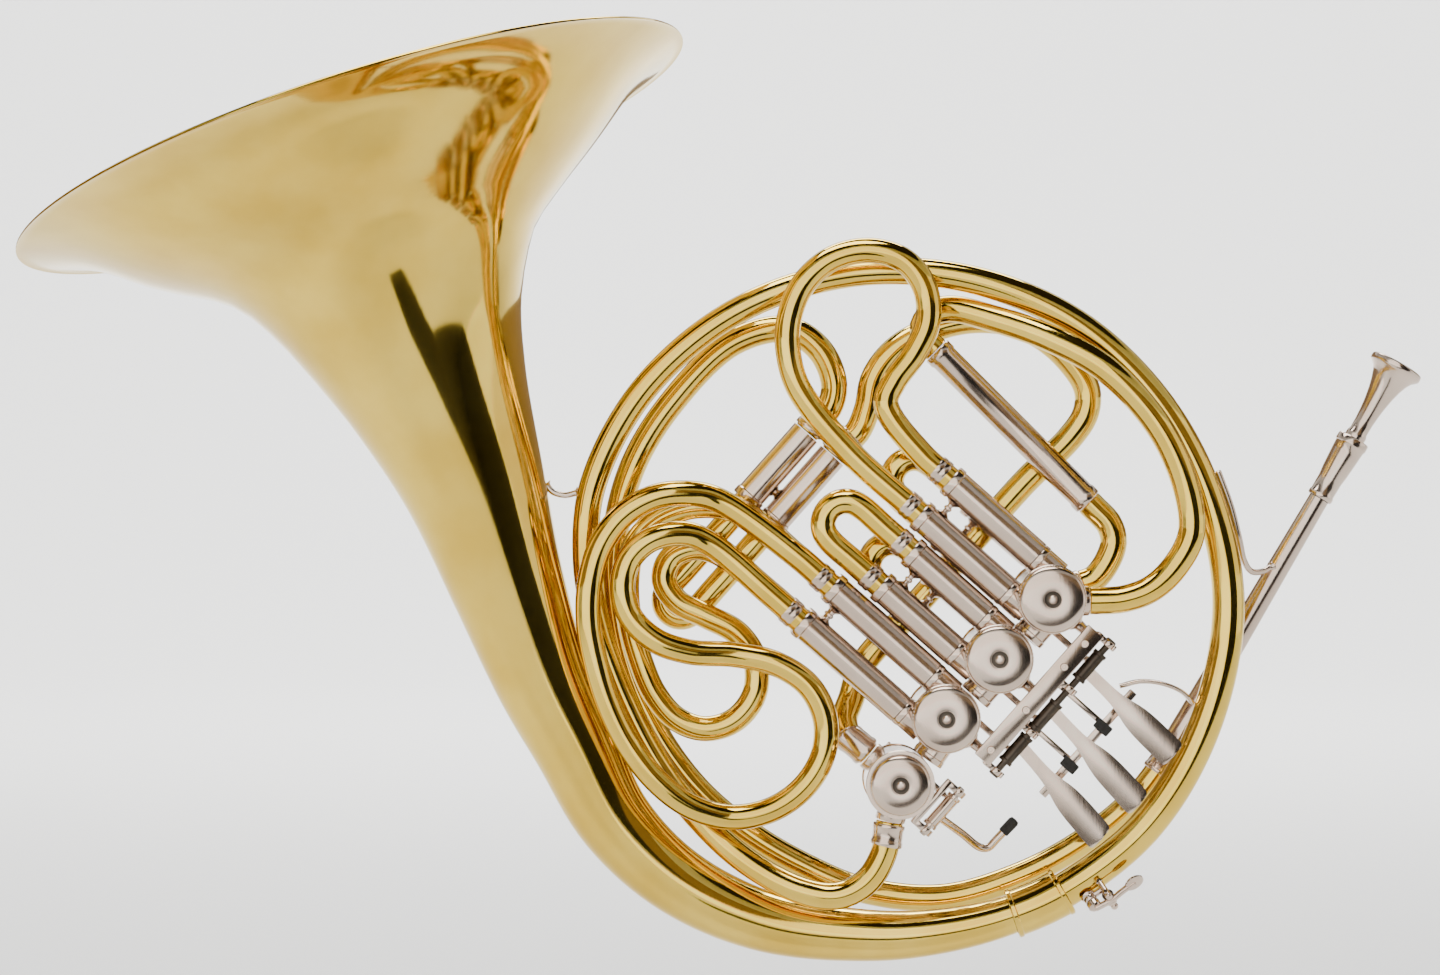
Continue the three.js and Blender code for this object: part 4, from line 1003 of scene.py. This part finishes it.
def add_braces():
    bell_way = Way([vec(-163.4, 3, 57.5), vec(-160.4, 3, 53.8), vec(-154.5, 3, 52.2), vec(-148.4, 3, 53.6)])

    def bell_foot(s):
        return brace_radius(min(s, bell_way.length - s), 1.6, 1.8)

    nickel("bell_brace_rod", tube(bell_way, bell_foot, step=0.4, sides=24), "bell_brace")
    pipe_way = Way([
        ring(155.7, 24, 0), ring(155.6, 18, 1), ring(155.8, 12, 3), vec(155, 6.5, 22.5), vec(159, 11.5, 17.4),
        vec(165.6, 17.6, 17.3), vec(169.7, 20.8, 19.1),
    ])

    def pipe_foot(s):
        return brace_radius(pipe_way.length - s, 1.8, 1.6)

    nickel("mouthpipe_brace_rod", tube(pipe_way, pipe_foot, step=0.5, sides=24), "mouthpipe_brace")


add_bell()
add_first_branch()
add_mouthpipe()
add_mouthpiece()
add_leadpipe_branch()
add_main_slide()
add_feed()
add_f_branch()
for valve in range(len(VALVES)):
    add_valve(valve)
add_slide("f1", OMEGA, (86, 110))
add_slide("f2", round_bow(1, 91, FRONT), (77, 77))
add_slide("f3", KIDNEY, (98, 96))
add_slide("bb1", round_bow(0, 80, REAR), (66, 66))
add_slide("bb2", round_bow(1, 62, REAR), (50, 50))
add_slide("bb3", NESTED, (100, 96))
for index in range(len(LEVERS)):
    add_finger_lever(index)
add_thumb_lever()
add_rack()
add_thumb_bracket()
add_stop_rail()
add_finger_hook()
add_water_key()
add_braces()


# ---- studio, in metres ----
LOW = cad_box[0][2] - 0.12  # height of the floor
WALL_START, WALL_CURVE = 4.8, 1.4
FLAG_LIFT = 0.004


def studio_sheet(name, points, faces, color, only_reflected=False):
    """A matt mesh of the studio, not of the horn; a flag is seen in reflections only."""
    mesh = bpy.data.meshes.new(name)
    mesh.from_pydata(points, [], faces)
    for polygon in mesh.polygons:
        polygon.use_smooth = True
    sheet = bpy.data.objects.new(name, mesh)
    bpy.context.scene.collection.objects.link(sheet)
    paper = bpy.data.materials.new(name)
    paper.use_nodes = True
    shader = paper.node_tree.nodes["Principled BSDF"]
    shader.inputs["Base Color"].default_value = (*color, 1)
    shader.inputs["Roughness"].default_value = 0.9
    mesh.materials.append(paper)
    if only_reflected:
        sheet.visible_camera = sheet.visible_shadow = sheet.visible_diffuse = False


def turned_sheet(name, outline, color, only_reflected=False, turns=64):
    """A round studio sheet with the (radius, height) outline."""
    angles = [2 * math.pi * k / turns for k in range(turns)]
    points = [(r * math.cos(a), r * math.sin(a), z) for r, z in outline for a in angles]
    faces = [
        (i * turns + k, i * turns + (k + 1) % turns, (i + 1) * turns + (k + 1) % turns, (i + 1) * turns + k)
        for i in range(len(outline) - 1) for k in range(turns)
    ]
    studio_sheet(name, points, faces, color, only_reflected)


def area(name, place, target, width, height, power):
    """A softbox that the camera doesn't see."""
    data = bpy.data.lights.new(name, "AREA")
    data.shape = "RECTANGLE"
    data.size, data.size_y, data.energy = width, height, power
    light = bpy.data.objects.new(name, data)
    bpy.context.scene.collection.objects.link(light)
    light.location = place
    direction = np.array(target) - np.array(place)
    light.rotation_euler = Vector(direction).to_track_quat("-Z", "Y").to_euler()
    light.visible_camera = False


def add_studio():
    """A pale round floor that curves up into a wall far behind every view, dark flags and softboxes."""
    wall = WALL_START + WALL_CURVE
    bend = [
        (WALL_START + WALL_CURVE * math.sin(t), LOW + WALL_CURVE * (1 - math.cos(t)))
        for t in np.linspace(0, math.pi / 2, 12)
    ]
    floor = [(radius, LOW) for radius in (0.0005, 0.5, 2.0, 3.5)]
    turned_sheet("studio_floor", [*floor, *bend, (wall, LOW + 4.0), (wall, LOW + 6.5)], (0.92, 0.92, 0.91))
    surround = [(2.75, LOW + 0.5), (2.85, LOW + 1.1), (2.8, LOW + 1.9)]
    turned_sheet("studio_surround", surround, (0.22, 0.15, 0.08), only_reflected=True)
    corners = [
        (-0.21, -0.48, 0), (-0.10, -0.48, 0), (0.20, -0.82, 0), (1.55, -0.95, 0), (0.40, -1.95, 0),
        (0.10, -1.42, 0), (-0.09, -0.98, 0), (-0.19, -0.68, 0), (1.55, -0.95, 0.65), (0.40, -1.95, 0.65),
    ]
    points = [(x, y, LOW + FLAG_LIFT + z) for x, y, z in corners]
    faces = [(0, 1, 2, 3, 4, 5, 6, 7), (3, 4, 9, 8)]
    studio_sheet("studio_flag", points, faces, (0.01, 0.01, 0.01), only_reflected=True)

    area("panel_left", (-1.10, -2.05, 0.1), (-0.6, 0, 0.1), 3.0, 3.2, 60)
    area("panel_right", (2.3, -0.5, 0.3), (-0.2, 0, 0.1), 1.9, 2.4, 14)
    area("top", (-0.5, -0.2, 1.8), (-0.4, 0, 0), 1.5, 0.8, 28)
    area("backdrop", (-0.1, 3.0, 3.6), (-0.1, 6.0, 0.9), 4.0, 1.2, 300)
    area("floor_wash", (-0.1, 2.8, 3.4), (-0.1, 2.9, 0), 3.0, 1.4, 150)
    world = bpy.data.worlds.new("studio")
    world.use_nodes = True
    world.node_tree.nodes["Background"].inputs["Color"].default_value = (0.022, 0.018, 0.012, 1)
    world.node_tree.nodes["Background"].inputs["Strength"].default_value = 1.0
    bpy.context.scene.world = world


def add_camera():
    """The photograph's view: level, from in front, aimed square to the body."""
    data = bpy.data.cameras.new("camera")
    data.lens, data.sensor_width = 93.5, 36.0
    camera = bpy.data.objects.new("camera", data)
    camera.location = (-0.1961, -1.700, 0.0927)
    camera.rotation_euler = (math.pi / 2, 0, 0)
    bpy.context.scene.collection.objects.link(camera)
    bpy.context.scene.camera = camera


add_studio()
add_camera()
